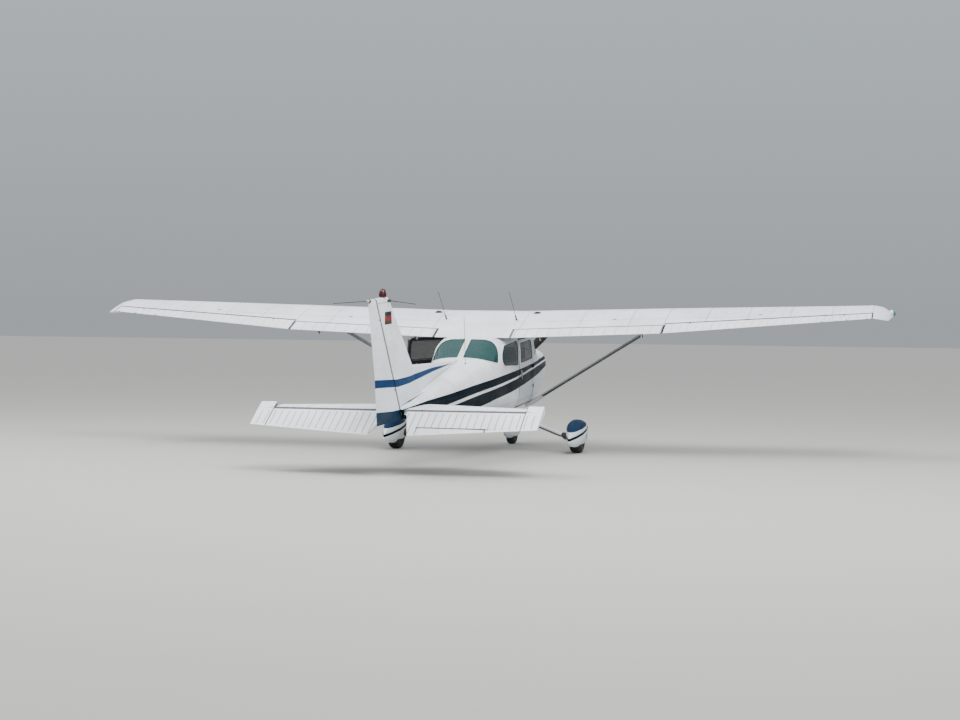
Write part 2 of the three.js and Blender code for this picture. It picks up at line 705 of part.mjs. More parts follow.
/** The left elevator at neutral: its horn reaches ahead of the hinge outboard of the tailplane. */
function elevatorNeutral() {
  const { station, height } = ELEVATOR_HINGE;
  const half = loft(tailplaneSections(TAILPLANE.hornHalfSpan));
  const aft = planSlab([[112, station], [TAILPLANE.hornHalfSpan + 40, station],
    [TAILPLANE.hornHalfSpan + 40, 6600], [252, 6600], [238, 6436], [128, 5990]], height - 300, height + 300);
  const horn = planSlab([[TAILPLANE.halfSpan + MOVING_GAP, 5744], [TAILPLANE.hornHalfSpan + 40, 5752],
    [TAILPLANE.hornHalfSpan + 40, station + 1], [TAILPLANE.halfSpan + MOVING_GAP, station + 1]],
    height - 300, height + 300, 30);
  const body = half.intersect(aft)
    .add(hingeBar(112, TAILPLANE.hornHalfSpan - 3, ELEVATOR_NOSE))
    .add(half.intersect(horn));
  return pinned(body, ELEVATOR_LUGS.map(elevatorLug), [1, 0, 0], ELEVATOR_NOSE + 3);
}

function tabSlab(gap) {
  return planSlab([[-TRIM_TAB.outX + gap, TRIM_TAB.front + gap], [-TRIM_TAB.inX - gap, TRIM_TAB.front + gap],
    [-TRIM_TAB.inX - gap, 6700], [-TRIM_TAB.outX + gap, 6700]], 700, 1200);
}

function drooped(body) {
  return turnedAboutX(body, -ELEVATOR_DROOP, ELEVATOR_HINGE.station, ELEVATOR_HINGE.height);
}

function rightElevatorNeutral() {
  return mirrored(elevatorNeutral());
}

/** The tab's hinge pins, which reach into it from the elevator at both ends. */
function tabPins(radius, reach) {
  const { inX, outX, axis } = TRIM_TAB;
  const height = ELEVATOR_HINGE.height;
  return bar([-inX + 20, axis, height], [-inX - reach, axis, height], radius, radius, HINGE.sides)
    .add(bar([-outX - 20, axis, height], [-outX + reach, axis, height], radius, radius, HINGE.sides));
}

function trimTab() {
  return rightElevatorNeutral().intersect(tabSlab(TRIM_TAB.gap))
    .subtract(tabPins(TRIM_TAB.pin + KNUCKLE.play, TRIM_TAB.pinReach + 2));
}

function rightElevator() {
  return rightElevatorNeutral().subtract(tabSlab(0)).add(tabPins(TRIM_TAB.pin, TRIM_TAB.pinReach));
}

/** Fin and rudder as one foil in level slices, before it is parted at the rudder's hinge. */
const FIN_COLUMNS = ['height', 'leading', 'trailing', 'thickness'];
const FIN_SECTIONS = table(FIN_COLUMNS, [
  [868, 4700, 6790, 112],
  [1453, 5302, 6872, 96],
  [2290, 6300, 7112, 66],
  [FIN_TOP, 6350, 7104, 40],
]);

function finFoil(grow = 0) {
  return loft(FIN_SECTIONS.map(({ height, leading, trailing, thickness }) => (
    foilOutline(trailing - leading, thickness / (trailing - leading), 0, grow)
      .map(([along, up]) => new THREE.Vector3(up, leading + along, height))
  )));
}

/** A point on the rudder's hinge line at a height. */
function rudderHinge(height) {
  const [lowStation, lowHeight] = RUDDER_HINGE.low;
  const [highStation, highHeight] = RUDDER_HINGE.high;
  const slope = (highStation - lowStation) / (highHeight - lowHeight);
  return [0, lowStation + (height - lowHeight) * slope, height];
}

/** The rudder's round nose about its hinge line, a little slimmer higher up. */
function rudderBar(extra, lowHeight, highHeight) {
  const radius = (height) => 47 - (24 * (height - 870)) / (FIN_TOP - 870) + extra;
  return bar(rudderHinge(lowHeight), rudderHinge(highHeight), radius(lowHeight), radius(highHeight), NOSE_SIDES);
}

/** Everything aft of the rudder's hinge line. */
function aftOfHinge() {
  const low = rudderHinge(500);
  const high = rudderHinge(2700);
  return sideSlab([[low[1], 500], [7600, 500], [7600, 2700], [high[1], 2700]], -400, 400);
}

const DORSAL_SECTIONS = table(['station', 'half', 'top', 'bottom'], [
  [3060, 10, 1372, 1300],
  [3340, 26, 1376, 1240],
  [4350, 40, 1418, 1140],
  [5260, 50, 1462, 1040],
  [5600, 44, 1500, 1000],
]);

function dorsal() {
  return loft(DORSAL_SECTIONS.map(({ station, half, top, bottom }) => hullRing({
    station, half, top, bottom, middle: bottom + 20, topPower: 1.7, bottomPower: 2,
  })));
}

const RUDDER_LINE = new THREE.Vector3(...rudderHinge(2000)).sub(new THREE.Vector3(...rudderHinge(1000))).toArray();
const RUDDER_LUGS = [1240, 2080].map(rudderHinge);

function fin() {
  const tailcoverLine = hull(TAILCONE_SECTIONS, FIT);
  const panel = finFoil().add(dorsal())
    .subtract(aftOfHinge())
    .subtract(rudderBar(MOVING_GAP, 700, 2500))
    .subtract(aerialRoot(FIT))
    .subtract(tailcoverLine)
    .subtract(box(900, 3000, 400, 0, 5200, 780))
    .subtract(beaconSeat());
  return lugged(panel, RUDDER_LUGS, RUDDER_LINE, ([x, station, height]) => [x, station - 54, height + 36]);
}

const BEACON = { station: 6530, stem: 13, depth: 30 };

function beaconSeat() {
  const { station, stem, depth } = BEACON;
  return bar([0, station, FIN_TOP - depth - FIT], [0, station, FIN_TOP + 60], stem + FIT, stem + FIT, 16);
}

function beacon() {
  const { station, stem, depth } = BEACON;
  const profile = [[0, -depth], [stem, -depth], [stem, FIT], [30, FIT], [44, 14], [44, 40], [32, 90], [0, 108]];
  const geometry = new THREE.LatheGeometry(profile.map(([r, z]) => new THREE.Vector2(r, z)), 16);
  return solid(geometry.rotateX(Math.PI / 2).translate(0, station, FIN_TOP));
}

function rudder() {
  const body = finFoil().intersect(aftOfHinge())
    .add(rudderBar(0, 800, FIN_TOP + 60))
    .intersect(box(600, 2400, FIN_TOP - 868 - 2, 0, 6500, (FIN_TOP + 868) / 2));
  return pinned(body, RUDDER_LUGS, RUDDER_LINE, 52);
}

/** The space in the tailcone: open to the cabin's closed rear wall, and ending ahead of the tail fittings. */
function tailconeSpace() {
  const sections = TAILCONE_SECTIONS.map((section, i) => (
    i === 0 ? { ...section, station: section.station - 2 * TAILCONE.skin } : section
  ));
  return hull(sections, -TAILCONE.skin).subtract(box(1000, 1000, 1000, 0, TAILCONE.spaceEnd + 500, 950));
}

function tailcone() {
  const slot = loft(tailplaneSections(TAILPLANE.halfSpan, FIT))
    .subtract(box(4000, 2000, 600, 0, ELEVATOR_HINGE.station + 1000, ELEVATOR_HINGE.height));
  return hull(TAILCONE_SECTIONS)
    .subtract(tailconeSpace())
    .subtract(slot)
    .subtract(aftOfHinge())
    .subtract(rudderBar(MOVING_GAP, 500, 1500))
    .subtract(hingeBar(-400, 400, ELEVATOR_NOSE + MOVING_GAP));
}

// Wing pieces

/** How far the trailing edge has risen at x above its height at the root. */
function trailRise(x) {
  return ((WING.kinkTrail - WING.rootTrail) * (x - WING.rootX)) / (WING.kinkX - WING.rootX);
}

/** The space that a flap fills: behind a slanted face, whose edges run along the span. */
function flapWedge(gap) {
  const ring = (x) => [
    [2600, 1980], [FLAP.topStation + gap + 40, 1980], [FLAP.topStation + gap, FLAP.topHeight],
    [FLAP.lowStation + gap, FLAP.lowHeight], [FLAP.lowStation + gap, 1300], [2600, 1300],
  ].map(([station, height]) => new THREE.Vector3(x, station, height + trailRise(x)));
  const inner = gap ? FLAP.inX : 400;
  const outer = gap ? FLAP.outX : CONTROL_SPLIT_X;
  return loft([ring(inner), ring(outer)]);
}

function aileronCone(extra, fromX, toX) {
  const inner = aileronHinge(fromX);
  const outer = aileronHinge(toX);
  return bar(inner.point, outer.point, inner.radius + extra, outer.radius + extra, NOSE_SIDES);
}

function aileronAft(fromX, toX) {
  const inner = aileronHinge(fromX).point;
  const outer = aileronHinge(toX).point;
  return planSlab([[fromX, inner[1]], [toX, outer[1]], [toX, 2600], [fromX, 2600]], 1500, 2200);
}

const AILERON_LUGS = [2900, 4900].map((x) => aileronHinge(x).point);
const AILERON_LINE = new THREE.Vector3(...AILERON_LUGS[1]).sub(new THREE.Vector3(...AILERON_LUGS[0])).toArray();
const FLAP_LUGS = [860, 2240];

/** The flap's pivot line lies under the wing and rises outboard with it. */
function flapPivot(x) {
  return [x, FLAP.pivotStation, FLAP.pivotHeight + trailRise(x)];
}

const FLAP_LINE = new THREE.Vector3(...flapPivot(2240)).sub(new THREE.Vector3(...flapPivot(860))).toArray();

/** The bracket that hangs from the wing to the flap's pivot. */
function flapBracket(x) {
  const [, station, height] = flapPivot(x);
  return sideSlab([[station - 60, height + 130], [station - 2, height + 130], [station + 13, height],
    [station, height - 13], [station - 13, height - 5]], x - 6, x + 6)
    .subtract(disc(flapPivot(x), FLAP_LINE, HINGE.pin + HINGE.play, 30));
}

/** The flap's arm beside the bracket, with the pin that goes through it. */
function flapArm(x) {
  const [, station, height] = flapPivot(x);
  return sideSlab([[station - 13, height - 3], [station, height - 13], [station + 150, height + 82],
    [station + 150, height + 126], [station + 118, height + 126]], x + 12, x + 22)
    .add(disc([x + 7, ...flapPivot(x + 7).slice(1)], FLAP_LINE, HINGE.pin, 28));
}

function wingPanel() {
  const panel = wing(WING_SECTIONS)
    .subtract(flapWedge(0))
    .subtract(aileronAft(CONTROL_SPLIT_X, WING.endX + 40))
    .subtract(aileronCone(MOVING_GAP, CONTROL_SPLIT_X, WING.endX + 40));
  const withBrackets = FLAP_LUGS.reduce((body, x) => body.add(flapBracket(x)), panel);
  return lugged(withBrackets, AILERON_LUGS, AILERON_LINE, ([x, station, height]) => [x, station - 66, height]);
}

function flap() {
  const blade = wing(WING_SECTIONS).intersect(flapWedge(MOVING_GAP));
  return FLAP_LUGS.reduce((body, x) => body.add(flapArm(x)), blade);
}

function aileron() {
  const body = wing(WING_SECTIONS).intersect(aileronAft(AILERON.inX, AILERON.outX))
    .add(aileronCone(-FIT, AILERON.inX, AILERON.outX));
  return pinned(body, AILERON_LUGS, AILERON_LINE, 58);
}

function strut() {
  const from = new THREE.Vector3(...STRUT.lower);
  const to = new THREE.Vector3(...STRUT.upper);
  const along = to.clone().sub(from).normalize();
  const chordwise = new THREE.Vector3(0, 1, 0).addScaledVector(along, -along.y).normalize();
  const across = along.clone().cross(chordwise);
  const ring = (share, size) => foilOutline(STRUT.chord * size, STRUT.thickness / STRUT.chord, 0)
    .map(([u, v]) => from.clone().lerp(to, share)
      .addScaledVector(chordwise, u - (STRUT.chord * size) / 2).addScaledVector(across, v));
  return loft([ring(-0.06, 1), ring(1.11, 1)]).subtract(hull(CABIN_SECTIONS, FIT)).subtract(wing(WING_SECTIONS, FIT));
}

// Undercarriage pieces, in the level frame for what the airframe carries

/** A point given by its distance aft of the main contact and its height, in the level frame. */
function levelPoint(aft, height) {
  return {
    station: MAIN_WHEEL_STATION + aft * Math.cos(ATTITUDE) - height * Math.sin(ATTITUDE),
    height: aft * Math.sin(ATTITUDE) + height * Math.cos(ATTITUDE),
  };
}

const mainAxle = levelPoint(0, MAIN_TYRE.radius);

const LEG_PATH = [[330, 640], [470, 500], [680, 404], [1130, 226]];

/** A main leg's tapered tube, drawn for the left side, with its axle. */
function legTube(grow = 0) {
  const path = new THREE.CatmullRomCurve3(LEG_PATH.map(([x, z]) => new THREE.Vector3(x, MAIN_WHEEL_STATION - 10, z)));
  const steps = 7;
  const rings = Array.from({ length: steps + 1 }, (_, k) => {
    const at = path.getPoint(k / steps);
    const across = new THREE.Vector3(0, 1, 0);
    const up = path.getTangent(k / steps).cross(across);
    const radius = 33 - (10 * k) / steps + grow;
    return Array.from({ length: 12 }, (__, i) => {
      const turn = (2 * Math.PI * i) / 12;
      return at.clone().addScaledVector(across, radius * Math.cos(turn)).addScaledVector(up, radius * Math.sin(turn));
    });
  });
  const { station, height } = mainAxle;
  const axle = AXLE_RADIUS + grow;
  return loft(rings).add(bar([1110, station, height], [MAIN_WHEEL_X + 40, station, height], axle, axle, AXLE_SIDES));
}

/** The whole leg, with the entry step that stands on it. */
function gearLeg() {
  const step = planSlab([[560, 1430], [700, 1430], [700, 1500], [560, 1500]], 452, 464, 20)
    .add(bar([630, 1462, 400], [630, 1462, 458], 9, 9, 10));
  return legTube().add(step).subtract(hull(CABIN_SECTIONS, FIT));
}

const MAIN_FAIRING = table(['along', 'half', 'top', 'bottom'], [
  [-430, 20, 262, 178],
  [-370, 66, 330, 128],
  [-210, 112, 420, 98],
  [0, 127, 460, 92],
  [200, 118, 448, 96],
  [420, 74, 366, 128],
  [600, 10, 262, 196],
]);

const NOSE_FAIRING = table(['along', 'half', 'top', 'bottom'], [
  [-330, 16, 218, 150],
  [-280, 56, 276, 108],
  [-150, 94, 350, 88],
  [0, 106, 386, 84],
  [170, 96, 372, 90],
  [340, 56, 306, 116],
  [470, 8, 226, 170],
]);

function fairingShell(sections) {
  return loft(sections.map(({ along, half, top, bottom }) => hullRing({
    station: along, half, top, bottom, middle: (top + bottom) / 2 - 10, topPower: 2.9, bottomPower: 2.3,
  })));
}

const WELL_GAP = 10;

/** The space for a tyre about its axle, straight down from there. */
function wheelWell({ radius, halfWidth }) {
  const reach = radius + WELL_GAP;
  const half = halfWidth + WELL_GAP;
  const side = [[0, half], [reach - 34, half], [reach - 9, halfWidth * 0.74 + WELL_GAP], [reach, halfWidth * 0.4 + WELL_GAP]];
  const profile = [...side.map(([r, x]) => [r, -x]), ...side.toReversed()];
  return wheelOfRevolution(profile).add(box(2 * half, 2 * reach - 6, 2 * radius, 0, 0, -radius));
}

function mainFairing() {
  const { station, height } = mainAxle;
  return fairingShell(MAIN_FAIRING).translate([MAIN_WHEEL_X + 4, station, 0])
    .subtract(wheelWell(MAIN_TYRE).translate([MAIN_WHEEL_X, station, height]))
    .subtract(legTube(FIT));
}

/** A tyre's ring about the x axis, open at its rim. */
function tyre({ radius, halfWidth, rim }) {
  const shoulder = radius - 34;
  const profile = [
    [rim, -halfWidth * 0.72], [shoulder, -halfWidth], [radius - 9, -halfWidth * 0.74], [radius, -halfWidth * 0.4],
    [radius, halfWidth * 0.4], [radius - 9, halfWidth * 0.74], [shoulder, halfWidth], [rim, halfWidth * 0.72],
    [rim, -halfWidth * 0.72],
  ];
  return wheelOfRevolution(profile);
}

/** A closed [radius, x] profile turned about the x axis, with a vertex at its lowest point. */
function wheelOfRevolution(profile) {
  const geometry = new THREE.LatheGeometry(profile.map(([r, x]) => new THREE.Vector2(r, x)), WHEEL_SEGMENTS);
  geometry.rotateZ(-Math.PI / 2);
  return solid(geometry);
}

function rim({ halfWidth, rim: radius }) {
  const bore = AXLE_RADIUS + AXLE_PLAY;
  return wheelOfRevolution([
    [bore, -halfWidth * 0.6], [radius - FIT, -halfWidth * 0.6], [radius - FIT, halfWidth * 0.6],
    [bore, halfWidth * 0.6], [bore, -halfWidth * 0.6],
  ]);
}

// Nose leg, upright on the ground

const NOSE_LEG = { strutBottom: 455, strutTop: 838 };

/** A point on the upright nose leg's axis, in the level frame. */
function legPoint(heightOffGround) {
  const { station, height } = levelPoint(NOSE_WHEEL_Y, heightOffGround);
  return [0, station, height];
}

/** The fixed upper leg, drawn in the level frame, with its bracket back to the firewall. */
function noseStrut() {
  const { strutBottom, strutTop } = NOSE_LEG;
  const bracket = legPoint(strutTop - 42);
  const reach = -FIT - bracket[1];
  return bar(legPoint(strutBottom), legPoint(strutTop), 37, 37, 20)
    .add(box(64, reach, 60, 0, bracket[1] + reach / 2, bracket[2]))
    .subtract(bar(legPoint(strutBottom - 5), legPoint(700), FORK_TUBE + 0.9, FORK_TUBE + 0.9, 16));
}

const FORK_TUBE = 27;

/** The steered lower leg: a tube in the strut's bore, a crown, two arms and the axle. */
function noseFork(grow = 0) {
  const { radius, halfWidth } = NOSE_TYRE;
  const arm = halfWidth + 20;
  const crown = 2 * radius + 26;
  const axle = AXLE_RADIUS + grow;
  const block = (width, length, height, x, z) => (
    box(width + 2 * grow, length + 2 * grow, height + 2 * grow, x, 0, z)
  );
  return bar([0, 0, crown - 10], [0, 0, 660], FORK_TUBE + grow, FORK_TUBE + grow, 16)
    .add(block(2 * arm + 12, 44, 18, 0, crown))
    .add(block(12, 44, crown - radius + 10, arm, (crown + radius) / 2))
    .add(block(12, 44, crown - radius + 10, -arm, (crown + radius) / 2))
    .add(bar([-arm - grow, 0, radius], [arm + grow, 0, radius], axle, axle, AXLE_SIDES));
}

function noseFairing() {
  return fairingShell(NOSE_FAIRING)
    .subtract(wheelWell(NOSE_TYRE).translate([0, 0, NOSE_TYRE.radius]))
    .subtract(noseFork(FIT));
}

// Cabin furniture

/** Room for a seat: clear of the doors at its sides, and down to the floor. */
const seatRoom = hull(liningSections, -MOVING_GAP).add(box(700, 2000, 300, 0, 1500, FLOOR_HEIGHT));

function frontSeat() {
  const profile = [[930, 690], [1000, 680], [1330, 676], [1420, 690], [1560, 1330], [1540, 1400], [1490, 1400],
    [1440, 1330], [1360, 930], [1320, 872], [960, 900], [925, 860]];
  return sideSlab(profile, 66, 440, 30).add(box(260, 300, 120, 250, 1160, 640)).intersect(cabinSpace(-FIT))
    .intersect(seatRoom);
}

function rearBench() {
  const profile = [[1900, 740], [2400, 740], [2520, 1300], [2490, 1350], [2440, 1350], [2400, 1300],
    [2310, 930], [2260, 890], [1930, 905], [1896, 870]];
  return sideSlab(profile, -372, 372, 30).add(box(560, 380, 160, 0, 2150, 700)).intersect(cabinSpace(-FIT));
}

/** The instrument panel with its glare shield and two control wheels. */
function instrumentPanel() {
  const face = sideSlab([[250, 1000], [300, 990], [318, 1250], [330, 1300], [200, 1314], [190, 1290]], -520, 520, 8);
  const yoke = (x) => bar([x, 300, 1120], [x, 480, 1120], 11, 11, 10)
    .add(box(220, 22, 26, x, 480, 1120))
    .add(box(24, 22, 110, x - 104, 480, 1150))
    .add(box(24, 22, 110, x + 104, 480, 1150));
  return face.intersect(cabinSpace(-FIT)).add(yoke(-245)).add(yoke(245));
}

// Aerials

/** A rod on a small foot that starts below the skin it stands on. */
function whip(base, tip, radius) {
  return bar(base, tip, radius, radius, 8).add(bar(base, [base[0], base[1], base[2] + 26], 14, 10, 10));
}

function roofAerial() {
  return whip([492, 1681, 1808], [492, 2149, 2217], 4).subtract(wing(CENTRE_SECTIONS, FIT));
}

function locatorAerial() {
  return whip([-151, 3233, 1314], [-151, 3292, 1936], 3).subtract(hull(TAILCONE_SECTIONS, FIT));
}

/** The cross bar through the fin that holds the navigation aerial's two rods. */
function aerialRoot(grow) {
  return bar([-58 - grow, 6440, 2282], [58 + grow, 6440, 2282], 13 + grow, 13 + grow, 12);
}

function navigationAerial() {
  const rod = (side) => bar([side * 50, 6440, 2282], [side * 485, 6868, 2262], 5, 4, 8);
  return aerialRoot(0).add(rod(1)).add(rod(-1));
}

// Assembly

const paint = (color, roughness = 0.35, metalness = 0) => (
  new THREE.MeshStandardMaterial({ color, roughness, metalness })
);

const aircraft = new THREE.Group();
const airframe = new THREE.Group();
airframe.position.y = -FORE_AFT_MIDDLE;
airframe.rotation.x = -ATTITUDE;
aircraft.add(airframe);
const level = new THREE.Group();
level.position.y = -MAIN_WHEEL_STATION;
airframe.add(level);

function place(parent, name, body, material) {
  const mesh = new THREE.Mesh(surface(body), material);
  mesh.name = name;
  parent.add(mesh);
  return mesh;
}

function pair(parent, name, build, material) {
  const left = build();
  place(parent, `${name}_left`, left, material);
  place(parent, `${name}_right`, mirrored(left), material);
}

place(level, 'cabin', cabin(), paint(PAINT));
place(level, 'tailcone', tailcone(), paint(PAINT));
place(level, 'cowling', cowling(), paint(PAINT));
place(level, 'engine', engine(), paint(TRIM, 0.6, 0.6));
place(level, 'exhaust', exhaust(), paint(TRIM, 0.6, 0.6));
place(level, 'windshield', windshield(), paint(GLASS_TINT, 0.05));
place(level, 'rear_window_left', rearPane(0), paint(GLASS_TINT, 0.05));
place(level, 'rear_window_right', rearPane(1), paint(GLASS_TINT, 0.05));
pair(level, 'side_window', sideWindow, paint(GLASS_TINT, 0.05));
place(level, 'door_window_right', mirrored(doorWindow()), paint(GLASS_TINT, 0.05));
place(level, 'door_right', mirrored(door()), paint(PAINT));

const openDoor = new THREE.Group();
openDoor.position.set(DOOR_HINGE.x, DOOR_HINGE.station, 0);
openDoor.rotation.z = -DOOR.stoodOpen;
level.add(openDoor);
const aboutHinge = (body) => body.translate([-DOOR_HINGE.x, -DOOR_HINGE.station, 0]);
place(openDoor, 'door_window_left', aboutHinge(doorWindow()), paint(GLASS_TINT, 0.05));
place(openDoor, 'door_left', aboutHinge(door()), paint(PAINT));

place(level, 'baggage_door', baggageDoor(), paint(PAINT));
pair(level, 'front_seat', frontSeat, paint(TRIM, 0.8));
place(level, 'rear_bench', rearBench(), paint(TRIM, 0.8));
place(level, 'instrument_panel', instrumentPanel(), paint(TRIM, 0.7));
pair(level, 'wing', wingPanel, paint(PAINT));
pair(level, 'wing_tip', () => wing(TIP_SECTIONS), paint(PAINT));
pair(level, 'flap', flap, paint(PAINT));
pair(level, 'aileron', aileron, paint(PAINT));
pair(level, 'strut', strut, paint(PAINT));
place(level, 'stabilizer', stabilizer(), paint(PAINT));
place(level, 'elevator_left', drooped(elevatorNeutral()), paint(PAINT));
place(level, 'elevator_right', drooped(rightElevator()), paint(PAINT));
place(level, 'trim_tab', drooped(trimTab()), paint(PAINT));
place(level, 'fin', fin(), paint(PAINT));
place(level, 'rudder', rudder(), paint(PAINT));
place(level, 'beacon', beacon(), paint(new THREE.Color('#8c1218'), 0.2));
place(level, 'navigation_aerial', navigationAerial(), paint(TRIM));
pair(level, 'roof_aerial', roofAerial, paint(PAINT));
place(level, 'locator_aerial', locatorAerial(), paint(TRIM));
place(level, 'nose_strut', noseStrut(), paint(PAINT, 0.4, 0.6));
pair(level, 'gear_leg', gearLeg, paint(PAINT));
pair(level, 'main_fairing', mainFairing, paint(NAVY));

const rotor = new THREE.Group();
rotor.position.set(0, PROPELLER.station, THRUST_HEIGHT);
rotor.rotation.y = -PROPELLER.angle;
level.add(rotor);
place(rotor, 'propeller', propeller(), paint(TRIM, 0.5));
place(rotor, 'spinner', spinner().translate([0, -PROPELLER.station, 0]), paint(PAINT, 0.25));

const ground = new THREE.Group();
ground.position.y = -FORE_AFT_MIDDLE;
aircraft.add(ground);

for (const [side, x] of [['left', MAIN_WHEEL_X], ['right', -MAIN_WHEEL_X]]) {
  const wheel = new THREE.Group();
  wheel.position.set(x, 0, MAIN_TYRE.radius);
  ground.add(wheel);
  place(wheel, `main_tyre_${side}`, tyre(MAIN_TYRE), paint(RUBBER, 0.9));
  place(wheel, `main_rim_${side}`, rim(MAIN_TYRE), paint(PAINT, 0.4, 0.6));
}

const noseLeg = new THREE.Group();
noseLeg.position.y = NOSE_WHEEL_Y;
ground.add(noseLeg);
place(noseLeg, 'nose_fork', noseFork(), paint(PAINT, 0.4, 0.6));
place(noseLeg, 'nose_fairing', noseFairing(), paint(PAINT));
const noseWheel = new THREE.Group();
noseWheel.position.z = NOSE_TYRE.radius;
noseLeg.add(noseWheel);
place(noseWheel, 'nose_tyre', tyre(NOSE_TYRE), paint(RUBBER, 0.9));
place(noseWheel, 'nose_rim', rim(NOSE_TYRE), paint(PAINT, 0.4, 0.6));

export default aircraft;
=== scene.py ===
"""A light aircraft with four seats, a strut-braced high wing and fixed wheels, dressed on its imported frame.

Lengths are in metres. The row frame has the nose towards -Y, the left wing towards +X and up at +Z. The
airframe has a level frame of its own: x across, the station aft of the firewall, and the height. It leans
nose up in the row frame, as the aircraft stands on its wheels.
"""

import json
import logging
import math
from collections.abc import Iterator, Sequence
from contextlib import contextmanager
from dataclasses import dataclass, field
from enum import Enum
from typing import Any

import bmesh
import bpy
from mathutils import Matrix, Vector
from mathutils.bvhtree import BVHTree

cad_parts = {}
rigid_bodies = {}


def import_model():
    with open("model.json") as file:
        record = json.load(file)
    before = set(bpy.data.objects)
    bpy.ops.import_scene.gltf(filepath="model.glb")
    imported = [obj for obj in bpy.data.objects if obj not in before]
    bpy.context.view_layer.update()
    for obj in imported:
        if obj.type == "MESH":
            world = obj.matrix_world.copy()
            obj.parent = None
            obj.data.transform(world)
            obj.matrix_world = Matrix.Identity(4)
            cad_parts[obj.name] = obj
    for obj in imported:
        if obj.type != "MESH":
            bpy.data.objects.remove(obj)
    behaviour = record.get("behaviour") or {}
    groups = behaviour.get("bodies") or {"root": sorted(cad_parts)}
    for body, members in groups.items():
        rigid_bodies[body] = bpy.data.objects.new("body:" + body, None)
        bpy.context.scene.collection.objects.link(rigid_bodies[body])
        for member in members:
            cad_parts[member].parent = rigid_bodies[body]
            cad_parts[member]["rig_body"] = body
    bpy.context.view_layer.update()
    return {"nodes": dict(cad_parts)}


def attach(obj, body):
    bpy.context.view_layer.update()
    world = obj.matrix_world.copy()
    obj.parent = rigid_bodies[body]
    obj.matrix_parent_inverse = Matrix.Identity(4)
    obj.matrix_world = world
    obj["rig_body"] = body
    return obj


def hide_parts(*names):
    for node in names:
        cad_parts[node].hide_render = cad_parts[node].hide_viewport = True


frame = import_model()
LOG = logging.getLogger("aircraft")

Triple = tuple[float, float, float]
Colour = tuple[float, float, float]
Station = tuple[float, float]
Outline = tuple[Station, ...]
Piece = bpy.types.Object
Finish = bpy.types.Material
Socket = bpy.types.NodeSocket
Finishes = dict[str, Finish]

UP: Triple = (0, 0, 1)
DOWN: Triple = (0, 0, -1)
SIDES = ((1, "left"), (-1, "right"))
ONTO_SIDE = Matrix.Rotation(math.pi / 2, 4, "Y")
MIRROR = Matrix.Diagonal((-1, 1, 1, 1))

# Points closer than this are taken as one
WELD = 0.00002

# Heights above and below the whole aircraft, where rays that look for a skin start
OVERHEAD = 2.6
UNDERFOOT = 0.05

# The airframe's level frame in the row frame
ATTITUDE = math.radians(2.93)
CONTACT_STATION = 1.470
FORE_AFT_MIDDLE = 1.6255
NOSE_AXLE = -3.2855
LEVEL_TO_ROW = (
    Matrix.Translation((0, -FORE_AFT_MIDDLE, 0))
    @ Matrix.Rotation(-ATTITUDE, 4, "X")
    @ Matrix.Translation((0, -CONTACT_STATION, 0))
)

# What stands turned at rest
DOOR_HINGE = (0.524, 0.752)
DOOR_STOOD_OPEN = math.radians(43.5)
ELEVATOR_HINGE = (5.880, 0.945)
ELEVATOR_DROOP = math.radians(23)
DOOR_OPENING = (
    LEVEL_TO_ROW
    @ Matrix.Translation((*DOOR_HINGE, 0))
    @ Matrix.Rotation(-DOOR_STOOD_OPEN, 4, "Z")
    @ Matrix.Translation((-DOOR_HINGE[0], -DOOR_HINGE[1], 0))
    @ LEVEL_TO_ROW.inverted()
)


def level(x: float, station: float, height: float) -> Vector:
    """Gives a point of the level frame in the row frame."""
    return LEVEL_TO_ROW @ Vector((x, station, height))


def stood(x: float, station: float, height: float) -> Matrix:
    """Gives the placing that puts a piece at a level point, in line with the airframe."""
    return LEVEL_TO_ROW @ Matrix.Translation((x, station, height))


def aimed(x: float, station: float, height: float, way: Triple) -> Matrix:
    """Gives the placing that puts a piece's Z along a level direction at a level point."""
    turn = Vector(way).to_track_quat("Z", "Y").to_matrix().to_4x4()
    return stood(x, station, height) @ turn


def colour(code: str) -> Colour:
    """Gives the linear colour of a six-digit sRGB code."""
    parts = (int(code[i : i + 2], 16) / 255 for i in (0, 2, 4))
    return tuple(c / 12.92 if c <= 0.04045 else ((c + 0.055) / 1.055) ** 2.4 for c in parts)


def paler(shade: Colour, gain: float, lift: float) -> Colour:
    """Gives a colour made lighter by a factor and a small step."""
    return tuple(min(1.0, part * gain + lift) for part in shade)


WHITE = colour("e9eef4")
NAVY = colour("00121e")
RUDDER_NAVY = colour("04263e")
BRIGHT_BLUE = colour("00335f")
DUSTY_BLUE = colour("1c3450")
# Dirt on bare metal; also the painted shade on one flank of each pressed rib
GRIME_AND_RIB_SHADE = colour("6b6458")
STAIN = colour("8d867a")
# Dark joints; also the painted shade in the gaps round the doors and ahead of the moving surfaces
JOINT_AND_GAP_SHADE = colour("2b2e31")
PATCH_TOP = colour("1f2628")
PATCH_MIDDLE = colour("7d2421")
PATCH_FOOT = colour("40301f")
# The white strut's painted shade: a dark grey for its shaded underside and a light grey for its lit top
STRUT_PAINTED_SHADE_UNDER = colour("43474b")
STRUT_PAINTED_LIGHT_TOP = colour("a9adb1")


class Pose(Enum):
    """How a painted piece is turned at rest from where its pattern was drawn."""

    AS_DRAWN = "as drawn"
    DOOR_OPEN = "the left door, stood open"
    DROOPED = "an elevator, drooped"


class Scheme(Enum):
    """The paint and sheet-metal pattern of a skin."""

    HULL = "hull"
    FIN = "fin"
    RUDDER = "rudder"
    WING = "wing"
    FLAP = "flap"
    AILERON = "aileron"
    TAILPLANE = "tailplane"
    ELEVATOR = "elevator"
    MAIN_FAIRING = "main fairing"
    NOSE_FAIRING = "nose fairing"
    STRUT = "strut"
    PLAIN = "plain"


# Shader maths


